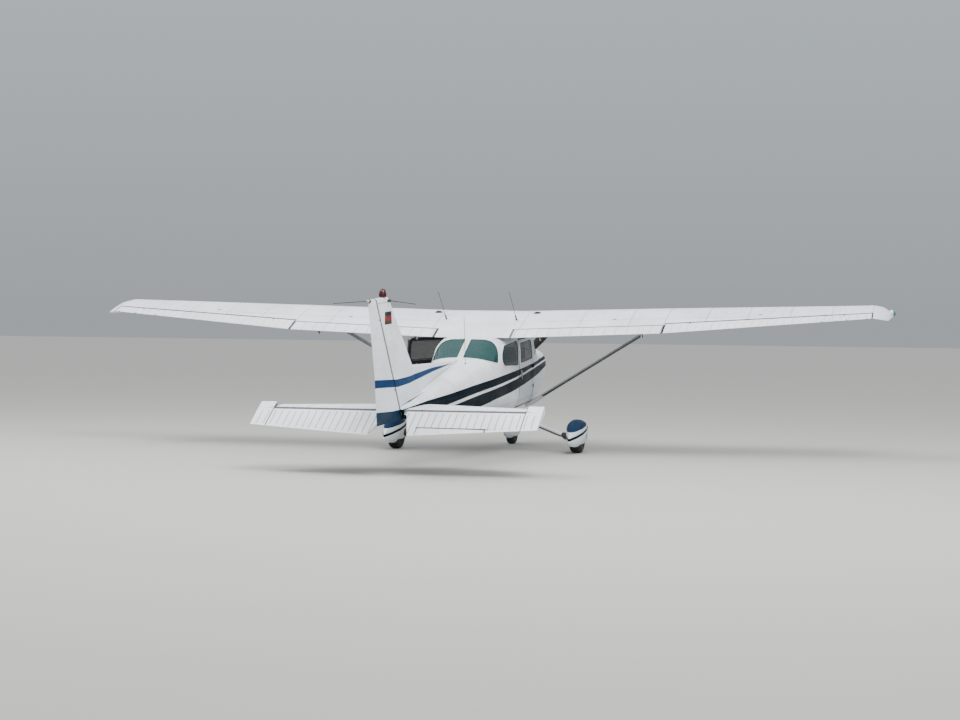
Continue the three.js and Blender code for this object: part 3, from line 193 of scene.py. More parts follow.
class Value:
    """A number socket of a material, on which Python's arithmetic adds Math nodes."""

    def __init__(self, shading: "Shading", socket: Socket) -> None:
        """Wraps a socket of the given material."""
        self.shading = shading
        self.socket = socket

    def __add__(self, other: Any) -> "Value":
        """Adds."""
        return self.shading.math("ADD", self, other)

    __radd__ = __add__

    def __mul__(self, other: Any) -> "Value":
        """Multiplies."""
        return self.shading.math("MULTIPLY", self, other)

    def __sub__(self, other: Any) -> "Value":
        """Subtracts."""
        return self.shading.math("SUBTRACT", self, other)

    def __rsub__(self, other: Any) -> "Value":
        """Subtracts from a number."""
        return self.shading.math("SUBTRACT", other, self)

    def __truediv__(self, other: Any) -> "Value":
        """Divides."""
        return self.shading.math("DIVIDE", self, other)

    def __abs__(self) -> "Value":
        """Drops the sign."""
        return self.shading.math("ABSOLUTE", self)

    def __pow__(self, power: float) -> "Value":
        """Raises to a power."""
        return self.shading.math("POWER", self, power)

    def least(self, other: Any) -> "Value":
        """Gives the smaller of this and another."""
        return self.shading.math("MINIMUM", self, other)

    def most(self, other: Any) -> "Value":
        """Gives the larger of this and another."""
        return self.shading.math("MAXIMUM", self, other)

    def sine(self) -> "Value":
        """Gives the sine."""
        return self.shading.math("SINE", self)

    def above(self, edge: Any, blur: float = 0.003) -> "Value":
        """Gives 1 where this is above an edge and 0 below it, with a soft change as wide as blur."""
        return self.shading.math("MULTIPLY_ADD", self - edge, 1 / blur, 0.5, clamp=True)

    def within(self, low: Any, high: Any, blur: float = 0.003) -> "Value":
        """Gives 1 between two edges and 0 outside them."""
        return self.above(low, blur) * (1 - self.above(high, blur))

    def near(self, places: Sequence[float]) -> "Value":
        """Gives the distance to the nearest of some places."""
        found = abs(self - places[0])
        for place in places[1:]:
            found = found.least(abs(self - place))
        return found

    def line(self, width: float) -> "Value":
        """Gives 1 where this distance is under half a width, fading to 0 at the width."""
        return self.shading.math("MULTIPLY_ADD", self, -2 / width, 2.0, clamp=True)

    def offset_in(self, pitch: float) -> "Value":
        """Gives how far this lies from the nearest multiple of a pitch."""
        return self.shading.math("PINGPONG", self, pitch / 2) if pitch else self

    def profile(self, points: Sequence[Station]) -> "Value":
        """Looks this up in a table of rising places and their values.

        Args:
            points: Pairs of a place and the value there; between them it runs straight.

        Returns:
            The value at this place.
        """
        first, last = points[0][0], points[-1][0]
        low = min(value for _, value in points)
        high = max(value for _, value in points)
        stops = [((at - first) / (last - first), (value - low) / (high - low)) for at, value in points]
        share = (self - first) / (last - first)
        ramp = self.shading.node(
            "ShaderNodeValToRGB",
            {"stops": [(at, (tone, tone, tone, 1.0)) for at, tone in stops]},
            {0: share},
        )
        grey = self.shading.node("ShaderNodeSeparateColor", {}, {0: ramp.outputs[0]})
        return Value(self.shading, grey.outputs[0]) * (high - low) + low


Spots = tuple[Value, Value, Value]


class Shading:
    """One procedural material under construction."""

    def __init__(self, name: str) -> None:
        """Starts a material with its shader and output."""
        self.material = bpy.data.materials.new(name)
        self.material.use_nodes = True
        self.tree = self.material.node_tree
        self.tree.nodes.clear()
        self.shader = self.node("ShaderNodeBsdfPrincipled")
        output = self.node("ShaderNodeOutputMaterial")
        self.tree.links.new(self.shader.outputs[0], output.inputs[0])

    def node(
        self, kind: str, settings: dict[str, Any] | None = None, values: dict[int | str, Any] | None = None
    ) -> bpy.types.Node:
        """Adds a node.

        Args:
            kind: The node's type.
            settings: Its own settings; "stops" are a ramp's places and colours.
            values: What goes into its sockets: a number, a colour, a socket or a Value.

        Returns:
            The new node.
        """
        node = self.tree.nodes.new(kind)
        for name, setting in (settings or {}).items():
            if name == "stops":
                self._set_stops(node.color_ramp, setting)
            else:
                setattr(node, name, setting)
        for key, value in (values or {}).items():
            self.feed(node.inputs[key], value)
        return node

    @staticmethod
    def _set_stops(ramp: bpy.types.ColorRamp, stops: Sequence[tuple[float, Sequence[float]]]) -> None:
        """Puts a ramp's stops in place."""
        while len(ramp.elements) < len(stops):
            ramp.elements.new(1.0)
        for element, (place, shade) in zip(ramp.elements, stops):
            element.position = place
            element.color = shade

    def feed(self, socket: Socket, value: Any) -> None:
        """Links a socket to a value, or sets it."""
        if isinstance(value, Value):
            self.tree.links.new(value.socket, socket)
        elif isinstance(value, Socket):
            self.tree.links.new(value, socket)
        else:
            socket.default_value = value

    def math(
        self, operation: str, first: Any, second: Any = None, third: Any = None, clamp: bool = False,
    ) -> Value:
        """Adds a Math node on one to three values."""
        values = {i: v for i, v in enumerate((first, second, third)) if v is not None}
        node = self.node("ShaderNodeMath", {"operation": operation, "use_clamp": clamp}, values)
        return Value(self, node.outputs[0])

    def place(self) -> Socket:
        """Gives the point in the row frame."""
        return self.node("ShaderNodeTexCoord").outputs["Object"]

    def level_place(self, pose: Pose = Pose.AS_DRAWN) -> Socket:
        """Gives the point in the level frame, turned back to where the pattern was drawn."""
        lean = (
            0.0, FORE_AFT_MIDDLE * math.cos(ATTITUDE) + CONTACT_STATION,
            FORE_AFT_MIDDLE * math.sin(ATTITUDE),
        )
        point = self.mapped(self.place(), lean, (ATTITUDE, 0, 0))
        if pose is Pose.DOOR_OPEN:
            return self._turned_back(point, (*DOOR_HINGE, 0.0), (0, 0, DOOR_STOOD_OPEN))
        if pose is Pose.DROOPED:
            return self._turned_back(point, (0.0, *ELEVATOR_HINGE), (ELEVATOR_DROOP, 0, 0))
        return point

    def _turned_back(self, point: Socket, pivot: Triple, turn: Triple) -> Socket:
        """Turns a point about a pivot."""
        at = Vector(pivot)
        axis = "X" if turn[0] else "Z"
        rest = at - Matrix.Rotation(turn[0] or turn[2], 3, axis) @ at
        return self.mapped(point, tuple(rest), turn)

    def mapped(
        self, point: Any, shift: Triple = (0, 0, 0), turn: Triple = (0, 0, 0), scale: Triple = (1, 1, 1),
    ) -> Socket:
        """Scales, turns and then shifts a point."""
        return self.node("ShaderNodeMapping", {}, {0: point, 1: shift, 2: turn, 3: scale}).outputs[0]

    def axes(self, point: Socket) -> Spots:
        """Gives a point's three coordinates."""
        split = self.node("ShaderNodeSeparateXYZ", {}, {0: point})
        return tuple(Value(self, out) for out in split.outputs)

    def noise(self, point: Any, scale: float, detail: float = 3.0, roughness: float = 0.55) -> Value:
        """Gives a soft random pattern from 0 to 1."""
        node = self.node(
            "ShaderNodeTexNoise", {},
            {"Vector": point, "Scale": scale, "Detail": detail, "Roughness": roughness},
        )
        return Value(self, node.outputs["Fac"])

    def blend(self, share: Any, under: Any, over: Any, mode: str = "MIX") -> Socket:
        """Lays one colour over another by a share, as paint or, with MULTIPLY, as a stain."""
        node = self.node("ShaderNodeMix", {"data_type": "RGBA", "blend_type": mode}, {0: share})
        for key, value in ((6, under), (7, over)):
            self.feed(node.inputs[key], (*value, 1.0) if isinstance(value, tuple) else value)
        return node.outputs[2]

    def raise_surface(self, height: Value, strength: float = 1.0, distance: float = 0.001) -> None:
        """Feeds the shader's normal from a height in units of the distance."""
        bump = self.node(
            "ShaderNodeBump", {}, {"Strength": strength, "Distance": distance, "Height": height},
        )
        self.tree.links.new(bump.outputs[0], self.shader.inputs["Normal"])

    def shade(self, **values: Any) -> Finish:
        """Sets or links the shader's sockets by name and gives the finished material."""
        for name, value in values.items():
            key = name.replace("_", " ").title().replace("Ior", "IOR")
            self.feed(
                self.shader.inputs[key],
                (*value, 1.0) if isinstance(value, tuple) and len(value) == 3 else value,
            )
        return self.material


# Finishes


@dataclass(frozen=True)
class SheetMetal:
    """Where a skin's sheets meet and how it is riveted and ribbed."""

    stations: tuple[float, ...] = ()
    heights: tuple[float, ...] = ()
    spans: tuple[float, ...] = ()
    rivet_pitch: float = 0.032
    rib_pitch: float = 0.0
    rib_height: float = 3.2
    rib_range: Station = (0.0, 0.0)


@dataclass(frozen=True)
class Livery:
    """White enamel with two navy bands, a blue fin stripe, seams, rivets, the dirt of use and painted shade.
    """

    upper_top: Outline = (
        (-0.85, 1.184), (0.28, 1.177), (1.07, 1.162), (1.97, 1.142), (2.77, 1.115), (3.61, 1.086),
        (4.5, 1.046), (5.2, 1.026), (5.93, 0.985), (6.25, 0.992), (6.9, 1.03),
    )
    light_top: Outline = (
        (-0.85, 1.137), (0.31, 1.127), (1.07, 1.101), (1.66, 1.066), (2.57, 1.020), (3.33, 0.992),
        (3.84, 0.966), (4.51, 0.925), (5.4, 0.862), (6.9, 0.76),
    )
    light_depth: Outline = (
        (-0.85, 0.022), (0.3, 0.028), (1.6, 0.028), (3.0, 0.036), (4.4, 0.042), (5.3, 0.0), (6.9, 0.0),
    )
    lower_bottom: Outline = (
        (-0.85, 1.045), (0.03, 1.001), (0.66, 0.963), (1.58, 0.908), (2.15, 0.868), (2.77, 0.835),
        (3.35, 0.779), (4.0, 0.70), (6.9, 0.2),
    )
    stripe_top: Outline = (
        (3.3, 1.347), (4.44, 1.366), (5.0, 1.357), (5.6, 1.349), (6.1, 1.351), (6.82, 1.397),
    )
    stripe_bottom: Outline = (
        (3.3, 1.349), (4.44, 1.317), (5.0, 1.289), (5.6, 1.266), (6.05, 1.258), (6.78, 1.302),
    )
    patch: tuple[Station, Station] = ((6.287, 2.009), (6.556, 2.156))
    hull: SheetMetal = SheetMetal(
        stations=(0.006, 0.93, 1.86, 2.95, 3.62, 4.28, 4.9, 5.17), heights=(0.72, 0.985), rivet_pitch=0.034,
    )
    wing: SheetMetal = SheetMetal(
        stations=(1.12, 1.77), spans=(0.6, 1.4, 2.08, 2.56, 3.1, 3.64, 4.2, 4.74, 5.262), rivet_pitch=0.03,
    )
    flap: SheetMetal = SheetMetal(rib_pitch=0.152, rib_height=1.6, rib_range=(2.06, 2.28))
    aileron: SheetMetal = SheetMetal(rib_pitch=0.104, rib_height=2.6, rib_range=(0.055, 0.3))
    elevator: SheetMetal = SheetMetal(rib_pitch=0.0836, rib_height=3.6, rib_range=(5.955, 6.43))
    rudder: SheetMetal = SheetMetal(rib_pitch=0.118, rib_height=0.7, rib_range=(0.06, 0.84))
    tailplane: SheetMetal = SheetMetal(stations=(5.52,), spans=(0.3, 0.72, 1.14), rivet_pitch=0.03)
    fin: SheetMetal = SheetMetal(heights=(2.262,), rivet_pitch=0.034)

    doors: tuple[tuple[float, float, float, float], ...] = (
        (0.748, 1.655, 0.628, 1.56), (2.03, 2.416, 0.664, 1.204),
    )
    door_gap: float = 0.016
    flap_front: float = 2.046
    flap_span: Station = (0.53, 2.562)
    aileron_span: Station = (2.57, 5.268)
    aileron_root: Station = (2.56, 1.981)
    aileron_tip: Station = (5.273, 1.7316)
    aileron_taper: float = 0.042
    rudder_foot: Station = (0.865, 5.9)
    rudder_sweep: float = 0.6751
    rudder_taper: float = 0.37
    elevator_front: float = 5.912
    elevator_span: Station = (1.53, 1.534)
    elevator_taper: float = 0.133
    tab_front: Station = (6.250, 6.280)
    tab_span: Station = (-1.130, -0.300)
    tab_end: float = -1.126
    stripe_start: float = 3.36
    strut_axis: Triple = (0.5, 0.622, 0.6099)
    strut_shade_from: float = 0.56
    axle_station: float = 1.46
    cap_edge: Station = (0.369, 0.087)
    dark_line: Triple = (0.316, 0.135, 0.018)
    nose_line: Station = (0.2, 0.245)
    nose_cap: float = 0.262
    joint_width: float = 0.0042
    rivet_row: float = 0.011
    rivet_width: float = 0.0058

    def _behind_aileron_hinge(self, span: Value, station: Value) -> Value:
        """Gives how far a point lies behind the aileron's slanting front edge."""
        (root, root_front), (tip, tip_front) = self.aileron_root, self.aileron_tip
        return station - (root_front - (span - root) * ((root_front - tip_front) / (tip - root)))

    def _behind_rudder_hinge(self, station: Value, height: Value) -> Value:
        """Gives how far a point lies behind the rudder's swept front edge."""
        foot, front = self.rudder_foot
        return station - (height - foot) * self.rudder_sweep - front

    def gaps(self, scheme: Scheme, spots: Spots) -> Value:
        """Gives 1 in the gaps round the doors and ahead of the moving surfaces: their joints, with painted
        shade in them.
        """
        x, station, height = spots
        span = abs(x)
        if scheme is Scheme.HULL:
            edges = []
            for front, rear, low, high in self.doors:
                across = abs(station - (front + rear) / 2) - (rear - front) / 2
                up = abs(height - (low + high) / 2) - (high - low) / 2
                edges.append(abs(across.most(up)).line(self.door_gap))
            return edges[0].most(edges[1] * x.above(0.0))
        if scheme is Scheme.FLAP:
            # Painted shadow: the strip of flap under the wing's trailing lip is darkened
            return (1 - station.above(self.flap_front)).most(span.near(self.flap_span).line(0.02))
        if scheme is Scheme.AILERON:
            hinge = 1 - self._behind_aileron_hinge(span, station).above(0.022)
            return hinge.most(span.near(self.aileron_span).line(0.018))
        if scheme is Scheme.ELEVATOR:
            inner, outer = self.elevator_span
            hinge = (1 - station.above(self.elevator_front)) * (1 - span.above(inner))
            horn = span.near((outer,)).line(0.009)
            tab = station.within(*self.tab_front) * x.within(*self.tab_span)
            end = (x - self.tab_end).within(-0.007, 0.007) * station.above(self.tab_front[0])
            return hinge.most(horn).most(tab).most(end)
        if scheme is Scheme.RUDDER:
            return 1 - self._behind_rudder_hinge(station, height).above(0.014)
        return x * 0.0

    def bands(self, station: Value, height: Value) -> Value:
        """Gives 1 on the navy bands of the body's side."""
        top = height.above(station.profile(self.upper_top))
        bottom = height.above(station.profile(self.lower_bottom))
        light_top = station.profile(self.light_top)
        light = height.within(light_top - station.profile(self.light_depth), light_top)
        return bottom * (1 - top) * (1 - light)

    def seams(self, metal: SheetMetal, spots: Spots) -> tuple[Value, Value]:
        """Draws a skin's joints and rivets.

        Args:
            metal: The skin's sheets.
            spots: The point's x, station and height.

        Returns:
            The joints' lines and the rivets' heads, each 1 on them.
        """
        x, station, height = spots
        lines: Value | None = None
        heads: Value | None = None
        runs = (
            (metal.stations, station, height + x),
            (metal.heights, height, station),
            (metal.spans, abs(x), station),
        )
        for places, across, along in runs:
            if not places:
                continue
            gap = across.near(places)
            line = gap.line(self.joint_width)
            row = gap - self.rivet_row
            step = along.offset_in(metal.rivet_pitch)
            head = ((row * row + step * step) ** 0.5).line(self.rivet_width)
            lines = line if lines is None else lines.most(line)
            heads = head if heads is None else heads.most(head)
        if lines is None:
            return x * 0.0, x * 0.0
        return lines, heads

    def ribs(self, scheme: Scheme, metal: SheetMetal, spots: Spots) -> Value:
        """Gives the height of the pressed ribs, from 0 to 1."""
        x, station, height = spots
        span = abs(x)
        ridge = 1 - self._along_ribs(scheme, spots).offset_in(metal.rib_pitch) * (2 / metal.rib_pitch)
        ridge = (ridge - 0.35).most(0.0) * 1.54
        low, high = metal.rib_range
        aft = station
        if scheme is Scheme.AILERON:
            aft = self._behind_aileron_hinge(span, station)
            high = high - (span - self.aileron_root[0]) * self.aileron_taper
        if scheme is Scheme.RUDDER:
            aft = self._behind_rudder_hinge(station, height)
            high = high - (height - self.rudder_foot[0]) * self.rudder_taper
        if scheme is Scheme.ELEVATOR:
            high = high - span * self.elevator_taper
        return ridge * aft.within(low, high, 0.012)

    @staticmethod
    def _along_ribs(scheme: Scheme, spots: Spots) -> Value:
        """Gives the measure along which the ribs follow each other: up the rudder, and across elsewhere."""
        return spots[2] if scheme is Scheme.RUDDER else abs(spots[0])

    def shaded_side(self, scheme: Scheme, metal: SheetMetal, spots: Spots) -> Value:
        """Gives 1 on the flank of each rib that is darkened with painted shade, as if lit from one side."""
        quarter = metal.rib_pitch / 4
        return 1 - (self._along_ribs(scheme, spots) + quarter).offset_in(metal.rib_pitch).above(quarter)

    def markings(self, scheme: Scheme, shading: Shading, spots: Spots) -> Socket:
        """Gives the enamel's colour before dirt, with the struts' painted shade."""
        x, station, height = spots
        paint = shading.blend(0.0, WHITE, WHITE)
        if scheme in (Scheme.HULL, Scheme.RUDDER, Scheme.FIN):
            navy = RUDDER_NAVY if scheme is Scheme.RUDDER else NAVY
            paint = shading.blend(self.bands(station, height), paint, navy)
        if scheme in (Scheme.FIN, Scheme.RUDDER):
            stripe = height.within(station.profile(self.stripe_bottom), station.profile(self.stripe_top))
            paint = shading.blend(stripe * station.above(self.stripe_start), paint, BRIGHT_BLUE)
        if scheme is Scheme.FIN:
            (first, low), (last, high) = self.patch
            inside = station.within(first, last) * height.within(low, high)
            third = (high - low) / 3
            paint = shading.blend(inside, paint, PATCH_TOP)
            paint = shading.blend(inside * (1 - height.above(high - third)), paint, PATCH_MIDDLE)
            paint = shading.blend(inside * (1 - height.above(low + 0.85 * third)), paint, PATCH_FOOT)
        if scheme is Scheme.MAIN_FAIRING:
            aft = station - self.axle_station
            edge = self.cap_edge[0] - aft * self.cap_edge[1]
            paint = shading.blend(height.above(edge), paint, DUSTY_BLUE)
            middle, slope, half = self.dark_line
            line = middle - aft * slope
            paint = shading.blend(height.within(line - half, line + half), paint, NAVY)
        if scheme is Scheme.STRUT:
            # Painted shade: outboard of its white foot the white strut is painted grey, lighter on its lit
            # top and darker on its shaded underside
            root, foot, slope = self.strut_axis
            axis = foot + (abs(x) - root) * slope
            metal = shading.blend((height - axis).above(0.0, 0.012), STRUT_PAINTED_SHADE_UNDER, STRUT_PAINTED_LIGHT_TOP)
            return shading.blend(abs(x).above(self.strut_shade_from), WHITE, metal)
        if scheme is Scheme.NOSE_FAIRING:
            paint = shading.blend(height.within(*self.nose_line), paint, NAVY)
            paint = shading.blend(height.above(self.nose_cap), paint, DUSTY_BLUE)
        return paint

    def material(self, scheme: Scheme, pose: Pose = Pose.AS_DRAWN) -> Finish:
        """Makes the painted finish of a skin.

        Args:
            scheme: Which pattern of bands and sheets it has.
            pose: How the piece is turned at rest.

        Returns:
            The material.
        """
        shading = Shading(f"enamel_{scheme.value}_{pose.value}".replace(" ", "_").replace(",", ""))
        point = shading.level_place(pose)
        spots = shading.axes(point)
        paint = self.markings(scheme, shading, spots)
        sheets = {
            Scheme.HULL: self.hull,
            Scheme.WING: self.wing,
            Scheme.FLAP: self.flap,
            Scheme.AILERON: self.aileron,
            Scheme.ELEVATOR: self.elevator,
            Scheme.RUDDER: self.rudder,
            Scheme.TAILPLANE: self.tailplane,
            Scheme.FIN: self.fin,
        }
        metal = sheets.get(scheme, SheetMetal())
        lines, heads = self.seams(metal, spots)
        streaked = shading.mapped(point, scale=(1.0, 0.16, 0.5))
        patches = shading.noise(point, 1.7, 4.0)
        streaks = shading.noise(streaked, 14.0, 5.0, 0.65)
        film = (patches * streaks * 1.15 - 0.2).most(0.0).least(0.3) * 0.75
        tone = shading.blend(patches.above(0.5, 0.5) * 0.08, paint, STAIN, "MULTIPLY")
        tone = shading.blend(film, tone, STAIN, "MULTIPLY")
        gaps = self.gaps(scheme, spots)
        joint_share = 0.4 if scheme is Scheme.HULL else 0.62
        # Joints, the gaps' painted shade and rivet heads are darkened in turn
        for marks, share in ((lines, joint_share), (gaps, 0.88), (heads, 0.2)):
            tone = shading.blend(marks * share, tone, JOINT_AND_GAP_SHADE)
        relief = heads * 0.5 - lines * 1.1 - gaps + shading.noise(point, 3.1, 2.0) * 1.6
        if metal.rib_pitch:
            rib = self.ribs(scheme, metal, spots)
            shade = {Scheme.RUDDER: 0.04, Scheme.ELEVATOR: 0.6}.get(scheme, 0.22)
            relief = relief + rib * metal.rib_height
            # Painted shade: one flank of each rib is darkened, as if the light fell from one side
            flank = rib.within(0.04, 0.5, 0.06) * self.shaded_side(scheme, metal, spots)
            tone = shading.blend(flank * shade, tone, GRIME_AND_RIB_SHADE)
        shading.raise_surface(relief)
        gloss = 0.27 + patches * 0.14 + film * 0.5
        return shading.shade(base_color=tone, roughness=gloss, specular_ior_level=0.035)


@dataclass(frozen=True)
class Plastic:
    """A moulded or painted surface with a fine grain."""

    name: str
    shade: Colour
    roughness: float = 0.5
    grain: float = 900.0
    depth: float = 0.25
    wear: float = 0.15

    def material(self) -> Finish:
        """Makes the finish."""
        shading = Shading(self.name)
        point = shading.place()
        cloud = shading.noise(point, 6.0, 4.0)
        fine = shading.noise(point, self.grain, 2.0)
        tone = shading.blend(cloud * self.wear * 2, self.shade, paler(self.shade, 1.5, 0.03))
        shading.raise_surface(fine, self.depth, 0.0004)
        return shading.shade(base_color=tone, roughness=self.roughness - 0.08 + cloud * 0.16)


@dataclass(frozen=True)
class Metal:
    """A bare metal with fine brushing and stains."""

    name: str
    shade: Colour
    roughness: float = 0.32
    stain: Colour = GRIME_AND_RIB_SHADE
    stained: float = 0.35

    def material(self) -> Finish:
        """Makes the finish."""
        shading = Shading(self.name)
        point = shading.place()
        cloud = shading.noise(point, 9.0, 5.0, 0.6)
        brushed = shading.noise(shading.mapped(point, scale=(1, 1, 12)), 160.0, 2.0)
        dirt = (cloud - 0.45).most(0.0) * self.stained * 4
        tone = shading.blend(dirt.least(0.8), self.shade, self.stain)
        shading.raise_surface(brushed, 0.2, 0.0003)
        rough = self.roughness + brushed * 0.12 + dirt * 0.4
        return shading.shade(base_color=tone, metallic=1.0 - dirt.least(0.7), roughness=rough)


@dataclass(frozen=True)
class Rubber:
    """Tyre rubber with tread dust."""

    name: str = "tyre_rubber"
    shade: Colour = colour("1d1d1e")

    def material(self) -> Finish:
        """Makes the finish."""
        shading = Shading(self.name)
        point = shading.place()
        cloud = shading.noise(point, 12.0, 5.0, 0.62)
        dust = (cloud - 0.42).most(0.0) * 1.4
        tone = shading.blend(dust, self.shade, colour("6e675c"))
        shading.raise_surface(shading.noise(point, 420.0, 3.0), 0.35, 0.0006)
        return shading.shade(base_color=tone, roughness=0.78 + cloud * 0.15)


@dataclass(frozen=True)
class Glass:
    """A clear or tinted pane or lens."""

    name: str
    shade: Colour
    clearness: float
    roughness: float = 0.04

    def material(self) -> Finish:
        """Makes the finish."""
        shading = Shading(self.name)
        point = shading.place()
        # Lighter, less clear streaks run down the pane
        pane_streaks = shading.noise(shading.mapped(point, scale=(1.0, 1.0, 0.35)), 7.0, 4.0, 0.6)
        streak_lift = (pane_streaks - 0.5).most(0.0)
        tone = shading.blend(streak_lift * 0.5, self.shade, paler(self.shade, 2, 0.06))
        shading.material.surface_render_method = "BLENDED"
        return shading.shade(
            base_color=tone, roughness=self.roughness + streak_lift * 0.12, alpha=1 - self.clearness + streak_lift * 0.12,
            coat_weight=0.2, coat_roughness=0.02, specular_ior_level=0.3,
        )


@dataclass(frozen=True)
class Cloth:
    """Woven or knitted trim."""

    name: str
    shade: Colour
    thread: float = 0.0016

    def material(self) -> Finish:
        """Makes the finish."""
        shading = Shading(self.name)
        point = shading.place()
        x, y, z = shading.axes(point)
        turn = math.pi / self.thread
        weave = (x + z) * turn
        weft = (y + z) * turn
        bumps = weave.sine() * weft.sine()
        cloud = shading.noise(point, 5.0, 4.0)
        worn = paler(self.shade, 1.35, 0.02)
        tone = shading.blend(cloud.above(0.52, 0.35) * 0.4, self.shade, worn)
        tone = shading.blend((bumps * 0.5 + 0.5) * 0.2, tone, worn)
        shading.raise_surface(bumps, 0.6, 0.0005)
        return shading.shade(base_color=tone, roughness=0.88, sheen_weight=0.25, sheen_roughness=0.5)


# Modelling steps


def clear_selection() -> None:
    """Deselects every object."""
    for thing in bpy.context.view_layer.objects:
        thing.select_set(False)


def take_up(piece: Piece) -> Piece:
    """Makes a piece the only selected and active object."""
    clear_selection()
    piece.select_set(True)
    bpy.context.view_layer.objects.active = piece
    return piece


@contextmanager
def shaping(piece: Piece) -> Iterator[None]:
    """Keeps a piece in edit mode for a while."""
    take_up(piece)
    bpy.ops.object.mode_set(mode="EDIT")
    yield
    bpy.ops.object.mode_set(mode="OBJECT")


def settle(piece: Piece, place: Matrix | None = None) -> Piece:
    """Moves a piece's own place, and then a further one, into its mesh."""
    own = Matrix.LocRotScale(piece.location, piece.rotation_euler, piece.scale)
    piece.data.transform((place or Matrix.Identity(4)) @ own)
    piece.matrix_basis = Matrix.Identity(4)
    return piece


def turned(name: str, profile: Sequence[Station], place: Matrix, sides: int = 32) -> Piece:
    """Turns a solid about Z by raising and widening a disc.

    Args:
        name: The new piece's name.
        profile: Its radii and heights, from the bottom disc to the top one.
        place: Where it goes.
        sides: How many flats go round it.

    Returns:
        The new piece.
    """
    clear_selection()
    radius, height = profile[0]
    bpy.ops.mesh.primitive_circle_add(vertices=sides, radius=radius, fill_type="NGON", location=(0, 0, 0))
    piece = bpy.context.object
    piece.name = name
    piece.data.transform(Matrix.Translation((0, 0, height)))
    with shaping(piece):
        bpy.ops.mesh.select_all(action="SELECT")
        for next_radius, next_height in profile[1:]:
            bpy.ops.mesh.extrude_region_move(TRANSFORM_OT_translate={"value": (0, 0, next_height - height)})
            share = next_radius / radius
            bpy.ops.transform.resize(value=(share, share, 1), center_override=(0, 0, next_height))
            radius, height = next_radius, next_height
        bpy.ops.mesh.select_all(action="SELECT")
        bpy.ops.mesh.normals_make_consistent(inside=False)
    return settle(piece, place)


def block(
    name: str,
    size: Triple,
    place: Matrix,
    edge: float = 0.002,
    segments: int = 2,
    inset: float = 0.0,
    sink: float = 0.0,
) -> Piece:
    """Makes a block with rounded edges, and if asked with a sunk or raised field on its top.

    Args:
        name: The new piece's name.
        size: Its width, length and height.
        place: Where its middle goes.
        edge: How far its edges are rounded.
        segments: How finely.
        inset: How wide the rim round the top's field is.
        sink: How deep the field lies, or how far it stands up if negative.

    Returns:
        The new piece.
    """
    clear_selection()
    bpy.ops.mesh.primitive_cube_add(size=1, location=(0, 0, 0))
    piece = bpy.context.object
    piece.name = name
    piece.data.transform(Matrix.Diagonal((*size, 1)))
    with shaping(piece):
        if inset:
            bpy.ops.mesh.select_mode(type="FACE")
            bpy.ops.mesh.select_all(action="DESELECT")
            mesh = bmesh.from_edit_mesh(piece.data)
            for face in mesh.faces:
                face.select_set(face.normal.z > 0.9)
            bmesh.update_edit_mesh(piece.data)
            bpy.ops.mesh.inset(thickness=inset, depth=-sink)
        bpy.ops.mesh.select_all(action="SELECT")
        bpy.ops.mesh.bevel(offset=edge, segments=segments, affect="EDGES")
    return settle(piece, place)


def tube(
    name: str,
    points: Sequence[Vector],
    radius: float,
    closed: bool = False,
    fine: int = 2,
    widths: Sequence[float] = (),
) -> Piece:
    """Draws a round bar along points of the row frame.

    Args:
        name: The new piece's name.
        points: What it runs through.
        radius: Half its thickness.
        closed: Whether it joins up with its own start.
        fine: How finely it is rounded.
        widths: Its thickness at each point, as a share.

    Returns:
        The new piece, as a mesh.
    """
    curve = bpy.data.curves.new(name, "CURVE")
    curve.dimensions = "3D"
    curve.bevel_depth = radius
    curve.bevel_resolution = fine
    curve.use_fill_caps = not closed
    spline = curve.splines.new("POLY")
    spline.points.add(len(points) - 1)
    for i, (knot, point) in enumerate(zip(spline.points, points)):
        knot.co = (*point, 1.0)
        knot.radius = widths[i] if widths else 1.0
    spline.use_cyclic_u = closed
    piece = bpy.data.objects.new(name, curve)
    bpy.context.scene.collection.objects.link(piece)
    take_up(piece)
    bpy.ops.object.convert(target="MESH")
    return bpy.context.object


def joined(name: str, pieces: Sequence[Piece]) -> Piece:
    """Joins pieces into one."""
    take_up(pieces[0])
    for piece in pieces[1:]:
        piece.select_set(True)
    bpy.ops.object.join()
    whole = bpy.context.object
    whole.name = name
    return whole


def copied(piece: Piece, name: str, place: Matrix) -> Piece:
    """Copies a piece with a mesh of its own, moved, turned or mirrored by a placing."""
    copy = bpy.data.objects.new(name, piece.data.copy())
    bpy.context.scene.collection.objects.link(copy)
    copy.data.transform(place)
    if place.determinant() < 0:
        copy.data.flip_normals()
    return copy


def scattered(name: str, profile: Sequence[Station], sides: int, spots: Sequence[Matrix]) -> Piece:
    """Turns a small solid and sets a copy of it on every spot, as one piece.

    Args:
        name: The name of the piece that they make together.
        profile: The solid's radii and heights.
        sides: How many flats go round it.
        spots: Where the copies go.

    Returns:
        The new piece.
    """
    first = turned(name, profile, Matrix.Identity(4), sides)
    rest = [copied(first, name, spot) for spot in spots[1:]]
    first.data.transform(spots[0])
    return joined(name, [first, *rest])


def fitted(
    piece: Piece, body: str, slot: str, *finishes: Finish, degrees: float = 35.0
) -> Piece:
    """Smooths and finishes a new piece and lets it ride on a body.

    Args:
        piece: The piece, in place.
        body: The frame body that carries it.
        slot: The record's slot that its finish belongs to; not used.
        finishes: Its materials. With none given, it keeps its own.
        degrees: Edges sharper than this stay crisp.

    Returns:
        The piece.
    """
    smooth(piece, degrees)
    if finishes:
        put_finish(piece, *finishes)
    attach(piece, body)
    LOG.info("fitted %s", piece.name)
    return piece


def body_of(node: str) -> str:
    """Gives the body that carries a frame node."""
    return frame["nodes"][node]["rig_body"]


def surface_of(mesh: bpy.types.Mesh) -> BVHTree:
    """Gives a mesh's surface as a tree that rays can be cast at."""
    return BVHTree.FromPolygons(
        [vertex.co for vertex in mesh.vertices], [face.vertices for face in mesh.polygons],
    )


